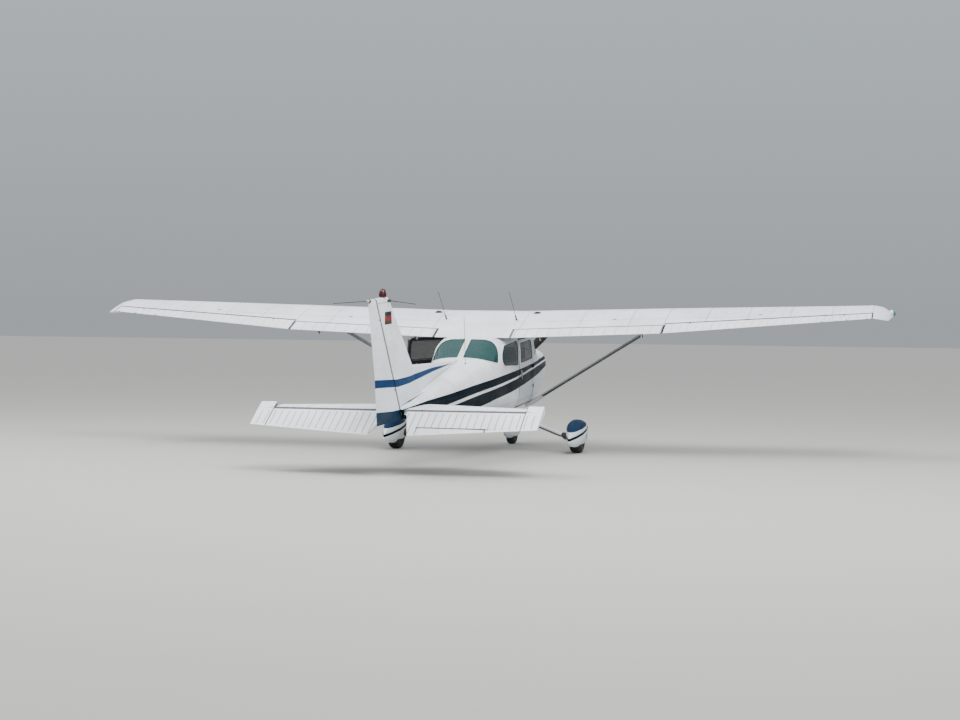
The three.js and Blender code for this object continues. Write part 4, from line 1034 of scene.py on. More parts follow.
class Skin:
    """A frame node's surface, to set fittings on."""

    def __init__(self, node: str) -> None:
        """Reads the node's mesh."""
        self.tree = surface_of(frame["nodes"][node].data)

    def _hit(self, x: float, station: float, height: float, way: Triple) -> tuple[Vector, Vector]:
        """Finds the surface from a level point along a level direction.

        Args:
            x: The point's x.
            station: Its station.
            height: Its height.
            way: The direction.

        Returns:
            The place and the normal there, in the row frame. The normal looks back along the ray.
        """
        direction = LEVEL_TO_ROW.to_3x3() @ Vector(way)
        place, normal, _, _ = self.tree.ray_cast(level(x, station, height), direction)
        return place, -normal if normal.dot(direction) > 0 else normal

    def seat(self, x: float, station: float, height: float = OVERHEAD, way: Triple = DOWN) -> Matrix:
        """Gives the placing that puts a piece's Z along the surface's normal where the ray lands."""
        place, normal = self._hit(x, station, height, way)
        return Matrix.Translation(place) @ normal.to_track_quat("Z", "Y").to_matrix().to_4x4()

    def topside(self, x: float, station: float) -> float:
        """Gives the level height of the surface's top."""
        return (LEVEL_TO_ROW.inverted() @ self._hit(x, station, OVERHEAD, DOWN)[0]).z

    def underside(self, x: float, station: float) -> float:
        """Gives the level height of the surface's underside."""
        return (LEVEL_TO_ROW.inverted() @ self._hit(x, station, UNDERFOOT, UP)[0]).z


def put_finish(piece: Piece, *finishes: Finish) -> None:
    """Gives a piece its materials in order."""
    piece.data.materials.clear()
    for finish in finishes:
        piece.data.materials.append(finish)


def smooth(piece: Piece, degrees: float = 35.0) -> None:
    """Shades a piece smooth, apart from edges sharper than an angle."""
    take_up(piece)
    bpy.ops.object.shade_smooth_by_angle(angle=math.radians(degrees))


def keep_modifiers(piece: Piece) -> None:
    """Applies all modifiers of a piece in order."""
    take_up(piece)
    for modifier in list(piece.modifiers):
        bpy.ops.object.modifier_apply(modifier=modifier.name)


def refined_copy(node: str, degrees: float = 35.0) -> Piece:
    """Copies a frame node as one joined, smoothly shaded mesh that stands for it.

    Args:
        node: The frame node's name.
        degrees: Edges sharper than this stay crisp.

    Returns:
        The new piece, riding on the node's body.
    """
    source = frame["nodes"][node]
    piece = bpy.data.objects.new(f"{node}_skin", source.data.copy())
    bpy.context.scene.collection.objects.link(piece)
    with shaping(piece):
        bpy.ops.mesh.select_all(action="SELECT")
        bpy.ops.mesh.remove_doubles(threshold=WELD)
        bpy.ops.mesh.dissolve_limited(angle_limit=math.radians(0.4))
    smooth(piece, degrees)
    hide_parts(node)
    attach(piece, source["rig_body"])
    return piece


# The studio


@dataclass
class Studio:
    """The pale floor, the soft light and the camera at the photograph's angle."""

    eye: Triple = (-6.596, 26.254, 1.852)
    look: Station = (0.2333, -0.9724)
    dip: float = math.radians(1.20)
    roll: float = math.radians(-0.58)
    lens: float = 77.7
    sky: tuple[tuple[float, str], ...] = ((0.0, "8d9296"), (0.75, "f0f6fd"), (0.22, "a8b0b8"))
    sky_power: float = 1.45
    lamps: tuple[tuple[Triple, float, float], ...] = (
        ((-6, 9, 13), 9, 2600), ((8, 4, 13), 10, 1800), ((-9, 24, 8), 7, 700),
    )

    def floor(self) -> None:
        """Lays the floor."""
        clear_selection()
        bpy.ops.mesh.primitive_plane_add(size=240, location=(0, 0, 0))
        floor = bpy.context.object
        floor.name = "floor"
        shading = Shading("pale_floor")
        cloud = shading.noise(shading.place(), 0.6, 4.0)
        tone = shading.blend(cloud * 0.3, colour("b4b3ae"), colour("a6a5a1"))
        put_finish(floor, shading.shade(base_color=tone, roughness=0.85))

    def light(self) -> None:
        """Hangs the soft light."""
        world = bpy.data.worlds.new("studio")
        bpy.context.scene.world = world
        world.use_nodes = True
        tree = world.node_tree
        ramp = tree.nodes.new("ShaderNodeValToRGB")
        elements = (*ramp.color_ramp.elements, ramp.color_ramp.elements.new(0.5))
        for element, (share, code) in zip(elements, self.sky):
            element.position = share
            element.color = (*colour(code), 1.0)
        split = tree.nodes.new("ShaderNodeSeparateXYZ")
        tree.links.new(tree.nodes.new("ShaderNodeTexCoord").outputs["Generated"], split.inputs[0])
        tree.links.new(split.outputs["Z"], ramp.inputs[0])
        tree.links.new(ramp.outputs[0], tree.nodes["Background"].inputs[0])
        tree.nodes["Background"].inputs[1].default_value = self.sky_power
        for place, size, power in self.lamps:
            lamp = bpy.data.lights.new("soft_box", "AREA")
            lamp.shape = "DISK"
            lamp.size = size
            lamp.energy = power
            stand = bpy.data.objects.new("soft_box", lamp)
            stand.location = place
            stand.rotation_euler = (Vector((0, 0, 0.8)) - Vector(place)).to_track_quat("-Z", "Y").to_euler()
            bpy.context.scene.collection.objects.link(stand)

    def camera(self) -> None:
        """Sets the camera where the photographer stood."""
        data = bpy.data.cameras.new("camera")
        data.lens = self.lens
        data.sensor_width = 36
        data.clip_end = 400
        camera = bpy.data.objects.new("camera", data)
        bpy.context.scene.collection.objects.link(camera)
        ahead = Vector((*self.look, -math.tan(self.dip))).normalized()
        upright = ahead.to_track_quat("-Z", "Y").to_matrix()
        turn = Matrix.Rotation(self.roll, 3, ahead)
        camera.rotation_euler = (turn @ upright).to_euler()
        camera.location = self.eye
        bpy.context.scene.camera = camera

    def build(self) -> None:
        """Sets up the whole studio."""
        self.floor()
        self.light()
        self.camera()


# The aircraft's own skins


@dataclass
class Airframe:
    """The painted skins and their finishes, laid over the frame's solids."""

    livery: Livery = field(default_factory=Livery)
    coats: tuple[tuple[Scheme, float, tuple[str, ...]], ...] = (
        (Scheme.HULL, 32, ("cabin", "tailcone", "cowling", "door_right", "door_left", "baggage_door")),
        (Scheme.WING, 30, ("wing_left", "wing_right")),
        (Scheme.PLAIN, 60, ("wing_tip_left", "wing_tip_right")),
        (Scheme.FLAP, 30, ("flap_left", "flap_right")),
        (Scheme.AILERON, 30, ("aileron_left", "aileron_right")),
        (Scheme.STRUT, 40, ("strut_left", "strut_right")),
        (Scheme.TAILPLANE, 30, ("stabilizer",)),
        (Scheme.ELEVATOR, 30, ("elevator_left", "elevator_right")),
        (Scheme.PLAIN, 30, ("trim_tab",)),
        (Scheme.FIN, 30, ("fin",)),
        (Scheme.RUDDER, 30, ("rudder",)),
        (Scheme.PLAIN, 35, ("spinner",)),
        (Scheme.PLAIN, 40, ("gear_leg_left", "gear_leg_right", "nose_strut", "nose_fork")),
        (Scheme.MAIN_FAIRING, 38, ("main_fairing_left", "main_fairing_right")),
        (Scheme.NOSE_FAIRING, 38, ("nose_fairing",)),
    )
    posed: dict[str, Pose] = field(default_factory=lambda: {
        "door_left": Pose.DOOR_OPEN,
        "elevator_left": Pose.DROOPED,
        "elevator_right": Pose.DROOPED,
        "trim_tab": Pose.DROOPED,
    })
    lined: dict[str, Matrix] = field(default_factory=lambda: {
        "cabin": LEVEL_TO_ROW,
        "door_right": LEVEL_TO_ROW,
        "baggage_door": LEVEL_TO_ROW,
        "tailcone": LEVEL_TO_ROW,
        "door_left": DOOR_OPENING @ LEVEL_TO_ROW,
    })
    cabin_axis: float = 1.12
    eaves: float = 1.58
    ceiling: float = 1.80
    half_width: float = 0.455

    def line_inside(self, piece: Piece, stands: Matrix) -> None:
        """Gives the faces that look into the cabin the second finish.

        Args:
            piece: A skin of the body.
            stands: What takes the level frame to where the skin stands.
        """
        back = stands.inverted()
        for face in piece.data.polygons:
            middle = back @ face.center
            outward = Vector((middle.x, 0, middle.z - self.cabin_axis)).normalized()
            looks = (back.to_3x3() @ face.normal).dot(outward)
            under_roof = abs(middle.x) < self.half_width and middle.z < self.ceiling
            if looks < -0.25 and (middle.z < self.eaves or under_roof):
                face.material_index = 1

    def build(self) -> None:
        """Lays every painted skin."""
        finishes: dict[tuple[Scheme, Pose], Finish] = {}
        lining = Plastic("cabin_lining", colour("2f3235"), 0.8).material()
        coated = [(node, scheme, degrees) for scheme, degrees, nodes in self.coats for node in nodes]
        for node, scheme, degrees in coated:
            key = (scheme, self.posed.get(node, Pose.AS_DRAWN))
            if key not in finishes:
                finishes[key] = self.livery.material(*key)
            skin = refined_copy(node, degrees)
            if node in self.lined:
                put_finish(skin, finishes[key], lining)
                self.line_inside(skin, self.lined[node])
            else:
                put_finish(skin, finishes[key])
            LOG.info("painted %s", node)


@dataclass
class Fittings:
    """The frame's unpainted solids with their finishes."""

    def build(self) -> None:
        """Lays every other finish."""
        finishes = {
            Plastic("dark_trim", colour("2c2d2e"), 0.62).material(): ("instrument_panel",),
            Plastic("aerial_rod", colour("26282a"), 0.5).material(): (
                "navigation_aerial", "locator_aerial", "roof_aerial_left", "roof_aerial_right"),
            Glass("beacon_lens", colour("380207"), 0.02, 0.3).material(): ("beacon",),
        }
        for finish, nodes in finishes.items():
            for node in nodes:
                put_finish(refined_copy(node, 35), finish)
                LOG.info("finished %s", node)


# Glass and its frames


@dataclass
class Glazing:
    """The panes, with a white bead and a dark seal round each."""

    bead: float = 0.011
    bead_place: Station = (-0.007, -0.002)
    seal: float = 0.0048
    seal_place: Station = (0.0075, 0.0)
    step: float = 0.014
    screw: Outline = ((0.0085, -0.002), (0.0085, 0.0014), (0.0066, 0.0028), (0.0024, 0.003))
    panes: tuple[str, ...] = (
        "windshield", "rear_window_left", "rear_window_right", "side_window_left", "side_window_right",
        "door_window_left", "door_window_right",
    )

    @staticmethod
    def _patches(mesh: bmesh.types.BMesh) -> list[list[bmesh.types.BMFace]]:
        """Parts a mesh's faces at its sharp edges."""
        seen: set[bmesh.types.BMFace] = set()
        patches = []
        for first in mesh.faces:
            if first in seen:
                continue
            seen.add(first)
            patch, waiting = [], [first]
            while waiting:
                face = waiting.pop()
                patch.append(face)
                for edge in face.edges:
                    if edge.calc_face_angle(math.pi) > math.radians(50):
                        continue
                    for near in edge.link_faces:
                        if near not in seen:
                            seen.add(near)
                            waiting.append(near)
            patches.append(patch)
        return patches

    def _rim(self, node: str) -> tuple[list[Vector], list[Vector], Vector]:
        """Follows the edge of a pane's outer face.

        Args:
            node: The pane's frame node.

        Returns:
            The edge's points in order, the outward normals there, and the pane's middle.
        """
        mesh = bmesh.new()
        mesh.from_mesh(frame["nodes"][node].data)
        bmesh.ops.remove_doubles(mesh, verts=mesh.verts, dist=WELD)
        inside = level(0, 1.45, 1.1)

        def area(patch: list[bmesh.types.BMFace]) -> float:
            """Gives a patch's area."""
            return sum(face.calc_area() for face in patch)

        def reach(patch: list[bmesh.types.BMFace]) -> float:
            """Gives how far a patch lies from the middle of the cabin."""
            return sum((face.calc_center_median() - inside).length for face in patch) / len(patch)

        outer = max(sorted(self._patches(mesh), key=area)[-2:], key=reach)
        chosen = set(outer)
        links: dict[int, list[bmesh.types.BMVert]] = {}
        normals: dict[int, Vector] = {}
        spots: dict[int, Vector] = {}
        for face in outer:
            for vertex in face.verts:
                normals[vertex.index] = normals.get(vertex.index, Vector()) + face.normal
            for edge in face.edges:
                if sum(near in chosen for near in edge.link_faces) == 1:
                    for here, there in (edge.verts, reversed(edge.verts)):
                        links.setdefault(here.index, []).append(there)
                        spots[here.index] = here.co.copy()
        loop = self._longest_loop(links)
        points = [spots[index] for index in loop]
        ways = [normals[index].normalized() for index in loop]
        weighed = sum((face.calc_center_median() * face.calc_area() for face in outer), Vector())
        middle = weighed / area(outer)
        mesh.free()
        return *self._evened(points, ways), middle

    @staticmethod
    def _longest_loop(links: dict[int, list[bmesh.types.BMVert]]) -> list[int]:
        """Chains linked vertices into loops and gives the one with the most of them."""
        best: list[int] = []
        left = set(links)
        while left:
            start = min(left)
            loop, here = [start], start
            left.discard(start)
            while True:
                ahead = next((vertex.index for vertex in links[here] if vertex.index in left), None)
                if ahead is None:
                    break
                left.discard(ahead)
                loop.append(ahead)
                here = ahead
            if len(loop) > len(best):
                best = loop
        return best

    def _evened(self, points: list[Vector], ways: list[Vector]) -> tuple[list[Vector], list[Vector]]:
        """Spreads a closed loop's points evenly and rounds its corners a little."""
        lengths = [(points[(i + 1) % len(points)] - point).length for i, point in enumerate(points)]
        total = sum(lengths)
        count = max(12, round(total / self.step))
        even, normals, index, start = [], [], 0, 0.0
        for k in range(count):
            target = total * k / count
            while start + lengths[index] < target:
                start += lengths[index]
                index += 1
            share = (target - start) / lengths[index]
            after = (index + 1) % len(points)
            even.append(points[index].lerp(points[after], share))
            normals.append(ways[index].lerp(ways[after], share).normalized())
        for _ in range(2):
            even = [(even[i - 1] + even[i] * 2 + even[(i + 1) % count]) / 4 for i in range(count)]
        return even, normals

    def _inset(
        self, rim: tuple[list[Vector], list[Vector], Vector], inward: float, proud: float,
    ) -> list[Vector]:
        """Moves a rim's points towards the pane's middle and out of its surface."""
        points, normals, middle = rim
        moved = []
        for i, (point, normal) in enumerate(zip(points, normals)):
            along = (points[(i + 1) % len(points)] - points[i - 1]).normalized()
            side = normal.cross(along).normalized()
            if side.dot(middle - point) < 0:
                side = -side
            moved.append(point + side * inward + normal * proud)
        return moved

    def build(self) -> None:
        """Makes every pane, bead and seal."""
        tinted = Glass("tinted_glass", colour("094040"), 0.2).material()
        clear = Glass("door_glass", colour("0b2622"), 0.44).material()
        enamel = Livery().material(Scheme.PLAIN)
        rubber = Plastic("window_seal", colour("2a2c2d"), 0.75).material()
        for node in self.panes:
            put_finish(refined_copy(node, 35), clear if "rear" not in node else tinted)
            rim = self._rim(node)
            bead = tube(f"{node}_bead", self._inset(rim, *self.bead_place), self.bead, closed=True)
            fitted(bead, body_of(node), "white_plastic", enamel, degrees=60)
            seal = tube(f"{node}_seal", self._inset(rim, *self.seal_place), self.seal, closed=True, fine=1)
            fitted(seal, body_of(node), "dark_trim", rubber, degrees=60)
        self._strip_screws(Plastic("strip_screws", colour("35383a"), 0.5).material())

    def _strip_screws(self, finish: Finish) -> None:
        """Sets a row of screws down the strip between the rear panes."""
        skin = Skin("cabin")
        spots = [skin.seat(0.0, 2.49 + 0.062 * k) for k in range(7)]
        fitted(scattered("rear_strip_screws", self.screw, 14, spots), "airframe", "dark_trim", finish)


# Padded furniture


@dataclass(frozen=True)
class Pad:
    """One stuffed cushion: its size, its place in the level frame, its lean and its sewn channels."""

    name: str
    size: Triple
    place: Triple
    lean: float = 0.0
    channels: tuple[float, ...] = ()
    voxel: float = 0.007
    swell: float = 0.014
    pressure: float = 4
    last_step: int = 20
    crown: float = 0.010
    channel_width: float = 0.035
    channel_depth: float = 0.007
    waist: float = 0.006
    piping_height: float = 0.24
    piping_points: int = 96
    piping: float = 0.0042

    def _blank(self) -> Piece:
        """Makes the slightly small, round-edged block that swells into the cushion."""
        width, length, height = (side - 1.2 * self.swell for side in self.size)
        blank = block(self.name, (width, length, height), Matrix.Identity(4), min(height, length) * 0.24, 3)
        remesh = blank.modifiers.new("even", "REMESH")
        remesh.mode = "VOXEL"
        remesh.voxel_size = self.voxel
        keep_modifiers(blank)
        return blank

    def _blow_up(self, piece: Piece) -> None:
        """Lets the cover swell as cloth under pressure, each point by no more than the cap."""
        start = [vertex.co.copy() for vertex in piece.data.vertices]
        take_up(piece)
        cloth = piece.modifiers.new("cover", "CLOTH")
        cloth.settings.quality = 4
        cloth.settings.use_pressure = True
        cloth.settings.uniform_pressure_force = self.pressure
        cloth.settings.effector_weights.gravity = 0
        cloth.point_cache.frame_start = 1
        cloth.point_cache.frame_end = self.last_step
        for step in range(1, self.last_step + 1):
            bpy.context.scene.frame_set(step)
        keep_modifiers(piece)
        bpy.context.scene.frame_set(1)
        for vertex, was in zip(piece.data.vertices, start):
            moved = vertex.co - was
            if moved.length > self.swell:
                vertex.co = was + moved.normalized() * self.swell

    def _sew(self, piece: Piece) -> None:
        """Presses the channels into the upper face and draws the sides in between the corners."""
        half_width, half_length, half_height = (side / 2 for side in self.size)
        for vertex in piece.data.vertices:
            x, y, z = vertex.co
            across, along, up = x / half_width, y / half_length, z / half_height
            if z > 0:
                depth = sum(math.exp(-(((across - at) / self.channel_width) ** 2)) for at in self.channels)
                pressed = self.channel_depth * min(1.0, depth) * min(1.0, up)
                vertex.co.z += self.crown * max(0.0, (1 - across**2) * (1 - along**2)) - pressed
            waist = self.waist * (1 - up**2)
            vertex.co.x -= math.copysign(waist, x) * max(0.0, 1 - along**2) * abs(across)
            vertex.co.y -= math.copysign(waist, y) * max(0.0, 1 - across**2) * abs(along)

    def _piping_path(self, tree: BVHTree) -> list[Vector]:
        """Follows the cover round its edge, where the upper and the side panels are sewn."""
        height = self.size[2] * self.piping_height
        points = []
        for i in range(self.piping_points):
            turn = 2 * math.pi * i / self.piping_points
            way = Vector((math.cos(turn) * self.size[0], math.sin(turn) * self.size[1], 0)).normalized()
            start = Vector((0, 0, height)) + way
            found = tree.ray_cast(start, -way)[0]
            if found is not None:
                points.append(found)
        return points

    def build(self, body: str, finish: Finish, welt: Finish) -> list[Piece]:
        """Makes the cushion and its piping.

        Args:
            body: What it rides on.
            finish: Its cloth.
            welt: The piping's finish.

        Returns:
            The cushion and the piping.
        """
        piece = self._blank()
        self._blow_up(piece)
        self._sew(piece)
        path = self._piping_path(surface_of(piece.data))
        piping = tube(f"{self.name}_piping", path, self.piping, closed=True, fine=1)
        place = stood(*self.place) @ Matrix.Rotation(self.lean, 4, "X")
        settle(piece, place)
        settle(piping, place)
        fitted(piece, body, "seat_cloth", finish, degrees=180)
        fitted(piping, body, "dark_trim", welt, degrees=180)
        return [piece, piping]


@dataclass
class Furniture:
    """The front seats, the bench and the lap belts in the cabin."""

    seat_middle: float = 0.253
    cloth: Cloth = Cloth("seat_weave", colour("56606b"))
    welt: Plastic = Plastic("seat_welt", colour("2f353c"), 0.6)
    front: tuple[Pad, ...] = (
        Pad("seat_cushion", (0.356, 0.415, 0.115), (0.253, 1.142, 0.846), math.radians(-2), (-0.45, 0.45)),
        Pad("seat_back", (0.350, 0.105, 0.372), (0.253, 1.420, 1.096), math.radians(-15.5)),
        Pad(
            "seat_headrest", (0.236, 0.088, 0.118), (0.253, 1.489, 1.340), math.radians(-15.5),
            voxel=0.006, swell=0.010,
        ),
    )
    bench: tuple[Pad, ...] = (
        Pad(
            "bench_cushion", (0.738, 0.400, 0.118), (0.0, 2.098, 0.846), math.radians(-2),
            (-0.5, 0.0, 0.5), voxel=0.009,
        ),
        Pad("bench_back", (0.738, 0.108, 0.420), (0.0, 2.392, 1.125), math.radians(-15.5), voxel=0.009),
    )
    belts: tuple[tuple[float, float, float, str], ...] = (
        (0.253, 1.20, 0.186, "left"), (-0.253, 1.20, 0.186, "right"),
        (0.19, 2.13, 0.168, "rear_left"), (-0.19, 2.13, 0.168, "rear_right"),
    )
    belt_path: Outline = (
        (-0.186, 0.80), (-0.184, 0.87), (-0.13, 0.925), (0.0, 0.932), (0.13, 0.925), (0.184, 0.87),
        (0.186, 0.80),
    )
    belt_thickness: float = 0.0016
    belt_widening: float = 15.0

    def _front_seats(self, cloth: Finish, welt: Finish, steel: Finish) -> None:
        """Makes the left seat and copies it to the right."""
        pads = [pad.build("airframe", cloth, welt) for pad in self.front]
        stand = self._seat_stand()
        fitted(stand, "airframe", "dark_trim", steel)
        for cushion, piping in pads:
            other = copied(cushion, f"{cushion.name}_right", MIRROR)
            fitted(other, "airframe", "seat_cloth", degrees=180)
            fitted(copied(piping, f"{piping.name}_right", MIRROR), "airframe", "dark_trim", degrees=180)
            cushion.name = f"{cushion.name}_left"
            piping.name = f"{piping.name}_left"
        fitted(copied(stand, "seat_stand_right", MIRROR), "airframe", "dark_trim")
        stand.name = "seat_stand_left"
        for side in ("left", "right"):
            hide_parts(f"front_seat_{side}")

    def _seat_stand(self) -> Piece:
        """Makes the left seat's pan, legs, rails and headrest posts."""
        x = self.seat_middle
        pan = block("seat_pan", (0.34, 0.40, 0.05), stood(x, 1.14, 0.762), 0.012, 3, 0.03, 0.006)
        rails = [
            block("rail", (0.022, 0.62, 0.020), stood(x + u, 1.16, 0.6505), 0.004, 2, 0.005, 0.006)
            for u in (-0.12, 0.12)
        ]
        legs = [
            tube("leg", [level(x + u, s, 0.655), level(x + u, s + lean, 0.745)], 0.011)
            for u in (-0.12, 0.12) for s, lean in ((0.985, 0.03), (1.31, -0.03))
        ]
        posts = [
            tube("post", [level(x + u, 1.470, 1.250), level(x + u, 1.484, 1.300)], 0.006)
            for u in (-0.05, 0.05)
        ]
        return joined("seat_stand", [pan, *rails, *legs, *posts])

    def _bench(self, cloth: Finish, welt: Finish, trim: Finish) -> None:
        """Makes the rear bench on its box."""
        pads = [pad.build("airframe", cloth, welt)[0] for pad in self.bench]
        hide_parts("rear_bench")
        box = block("bench_box", (0.70, 0.44, 0.13), stood(0, 2.12, 0.708), 0.014, 3, 0.03, 0.005)
        fitted(box, "airframe", "dark_trim", trim)

    def _belts(self, webbing: Finish, steel: Finish) -> None:
        """Lays a lap belt with its buckle over each cushion."""
        for x, station, half, name in self.belts:
            scale = half / self.belt_path[-1][0]
            path = [level(x + across * scale, station, height) for across, height in self.belt_path]
            strap = tube(f"belt_{name}", path, self.belt_thickness, fine=1)
            self._widened(strap, LEVEL_TO_ROW.to_3x3() @ Vector((0, 1, 0)))
            fitted(strap, "airframe", "dark_trim", webbing, degrees=180)
            place = stood(x, station, 0.938)
            buckle = block(f"belt_buckle_{name}", (0.062, 0.052, 0.012), place, 0.004, 3, 0.012, 0.002)
            fitted(buckle, "airframe", "aerial", steel)

    def _widened(self, strap: Piece, way: Vector) -> None:
        """Widens a thin round bar along one direction into a flat strap."""
        for vertex in strap.data.vertices:
            vertex.co += vertex.normal.dot(way) * way * self.belt_thickness * self.belt_widening

    def build(self) -> None:
        """Makes all the furniture."""
        cloth = self.cloth.material()
        welt = self.welt.material()
        trim = Plastic("cabin_trim", colour("33373b"), 0.6).material()
        steel = Metal("seat_steel", colour("7d8186"), 0.4).material()
        self._front_seats(cloth, welt, steel)
        self._bench(cloth, welt, trim)
        self._belts(Cloth("webbing", colour("24282d"), 0.0011).material(), steel)


@dataclass
class Cockpit:
    """The instruments, knobs and pedals in front of the seats."""

    dial_rows: tuple[tuple[float, float, float], ...] = (
        (0.36, 1.235, 0.038), (0.27, 1.235, 0.038), (0.18, 1.235, 0.038),
        (0.36, 1.150, 0.038), (0.27, 1.150, 0.038), (0.18, 1.150, 0.038),
        (-0.20, 1.240, 0.027), (-0.27, 1.240, 0.027), (-0.34, 1.240, 0.027),
        (0.43, 1.235, 0.022), (0.43, 1.150, 0.022),
    )
    knob_row: tuple[tuple[float, float, float], ...] = (
        (0.0, 1.055, 0.016), (-0.06, 1.055, 0.014), (0.09, 1.045, 0.009),
        (0.14, 1.045, 0.009), (-0.12, 1.055, 0.009),
    )
    face_low: Station = (0.300, 0.99)
    face_high: Station = (0.330, 1.30)
    facing: Triple = (0, 1, 0.03)

    def _station(self, height: float) -> float:
        """Gives the panel face's station at a height."""
        share = (height - self.face_low[1]) / (self.face_high[1] - self.face_low[1])
        return self.face_low[0] + share * (self.face_high[0] - self.face_low[0])

    def _on_panel(self, x: float, height: float) -> Matrix:
        """Gives the placing that puts a piece's Z out of the panel's face."""
        return aimed(x, self._station(height), height, self.facing)

    def _dials(self) -> None:
        """Sets the dials, each with a bezel, a dark face, marks and a hand."""
        bezels, faces, marks = [], [], []
        for x, height, radius in self.dial_rows:
            place = self._on_panel(x, height)
            outline = [
                (radius, -0.004), (radius, 0.004), (radius * 0.94, 0.0062), (radius * 0.84, 0.0058),
                (radius * 0.82, 0.003),
            ]
            bezels.append(turned("bezel", outline, place))
            outline = [(radius * 0.81, 0.0028), (radius * 0.81, 0.0034), (radius * 0.80, 0.0036)]
            faces.append(turned("face", outline, place))
            for k in range(12):
                turn = Matrix.Rotation(math.radians(30 * k), 4, "Z")
                size = (0.0016, radius * (0.16 if k % 3 else 0.24), 0.0008)
                out = Matrix.Translation((0, radius * 0.70, 0.0039))
                marks.append(block("mark", size, place @ turn @ out, 0.0002, 1))
            turn = Matrix.Rotation(math.radians(40 + 700 * (x + height)), 4, "Z")
            out = Matrix.Translation((0, radius * 0.24, 0.0046))
            marks.append(block("hand", (0.0026, radius * 0.78, 0.001), place @ turn @ out, 0.0003, 1))
        for name, pieces, slot, finish in (
            ("dial_bezels", bezels, "dark_trim", Plastic("bezel_black", colour("18191a"), 0.4)),
            ("dial_faces", faces, "dark_trim", Plastic("dial_black", colour("0c0d0e"), 0.55)),
            ("dial_marks", marks, "white_plastic", Plastic("dial_white", colour("e6e6df"), 0.6)),
        ):
            fitted(joined(name, pieces), "airframe", slot, finish.material())

    def _knobs(self) -> None:
        """Sets the push-pull knobs, switches and radio faces."""
        knobs = []
        for x, height, radius in self.knob_row:
            outline = [
                (0.004, 0.0), (0.004, 0.028), (radius, 0.030), (radius * 1.05, 0.038),
                (radius * 0.9, 0.044), (radius * 0.4, 0.046),
            ]
            knobs.append(turned("knob", outline, self._on_panel(x, height), 20))
        for k in range(7):
            place = self._on_panel(0.30 + 0.024 * k, 1.035)
            knobs.append(block("switch", (0.012, 0.022, 0.014), place, 0.0025, 2))
        black = Plastic("knob_black", colour("141516"), 0.45).material()
        fitted(joined("panel_knobs", knobs), "airframe", "dark_trim", black)
        radios = []
        for k in range(4):
            place = aimed(-0.02, self._station(1.275 - 0.046 * k), 1.262 - 0.046 * k, self.facing)
            radios.append(block("radio", (0.158, 0.042, 0.016), place, 0.002, 2, 0.005, 0.003))
        grey = Plastic("radio_grey", colour("26292c"), 0.5).material()
        fitted(joined("radio_faces", radios), "airframe", "dark_trim", grey)

    def _pedals(self) -> None:
        """Sets the four rudder pedals on their rods."""
        pads = []
        for x in (0.34, 0.19, -0.19, -0.34):
            place = aimed(x, 0.20, 0.80, (0, 1, 0.55))
            pads.append(block("pedal", (0.085, 0.15, 0.014), place, 0.004, 3, 0.012, 0.003))
            pads.append(tube("pedal_rod", [level(x, 0.185, 0.745), level(x, 0.12, 0.665)], 0.009))
        metal = Metal("pedal_metal", colour("6f7377"), 0.45).material()
        fitted(joined("rudder_pedals", pads), "airframe", "aerial", metal)

    def build(self) -> None:
        """Fits out the cockpit."""
        self._dials()
        self._knobs()
        self._pedals()


# Undercarriage and propeller


def ring(name: str, profile: Sequence[Station], place: Matrix, steps: int = 64) -> Piece:
    """Spins a closed profile about Z.

    Args:
        name: The new piece's name.
        profile: The closed outline's radii and heights.
        place: Where the ring goes.
        steps: How finely it is spun.

    Returns:
        The new piece.
    """
    clear_selection()
    bpy.ops.mesh.primitive_circle_add(
        vertices=len(profile), radius=1, fill_type="NOTHING", location=(0, 0, 0),
    )
    piece = bpy.context.object
    piece.name = name
    for vertex, (radius, height) in zip(piece.data.vertices, profile):
        vertex.co = (radius, 0, height)
    with shaping(piece):
        bpy.ops.mesh.select_all(action="SELECT")
        bpy.ops.mesh.spin(steps=steps, angle=2 * math.pi, center=(0, 0, 0), axis=(0, 0, 1))
        bpy.ops.mesh.select_all(action="SELECT")
        bpy.ops.mesh.remove_doubles(threshold=WELD)
        bpy.ops.mesh.normals_make_consistent(inside=False)
    return settle(piece, place)


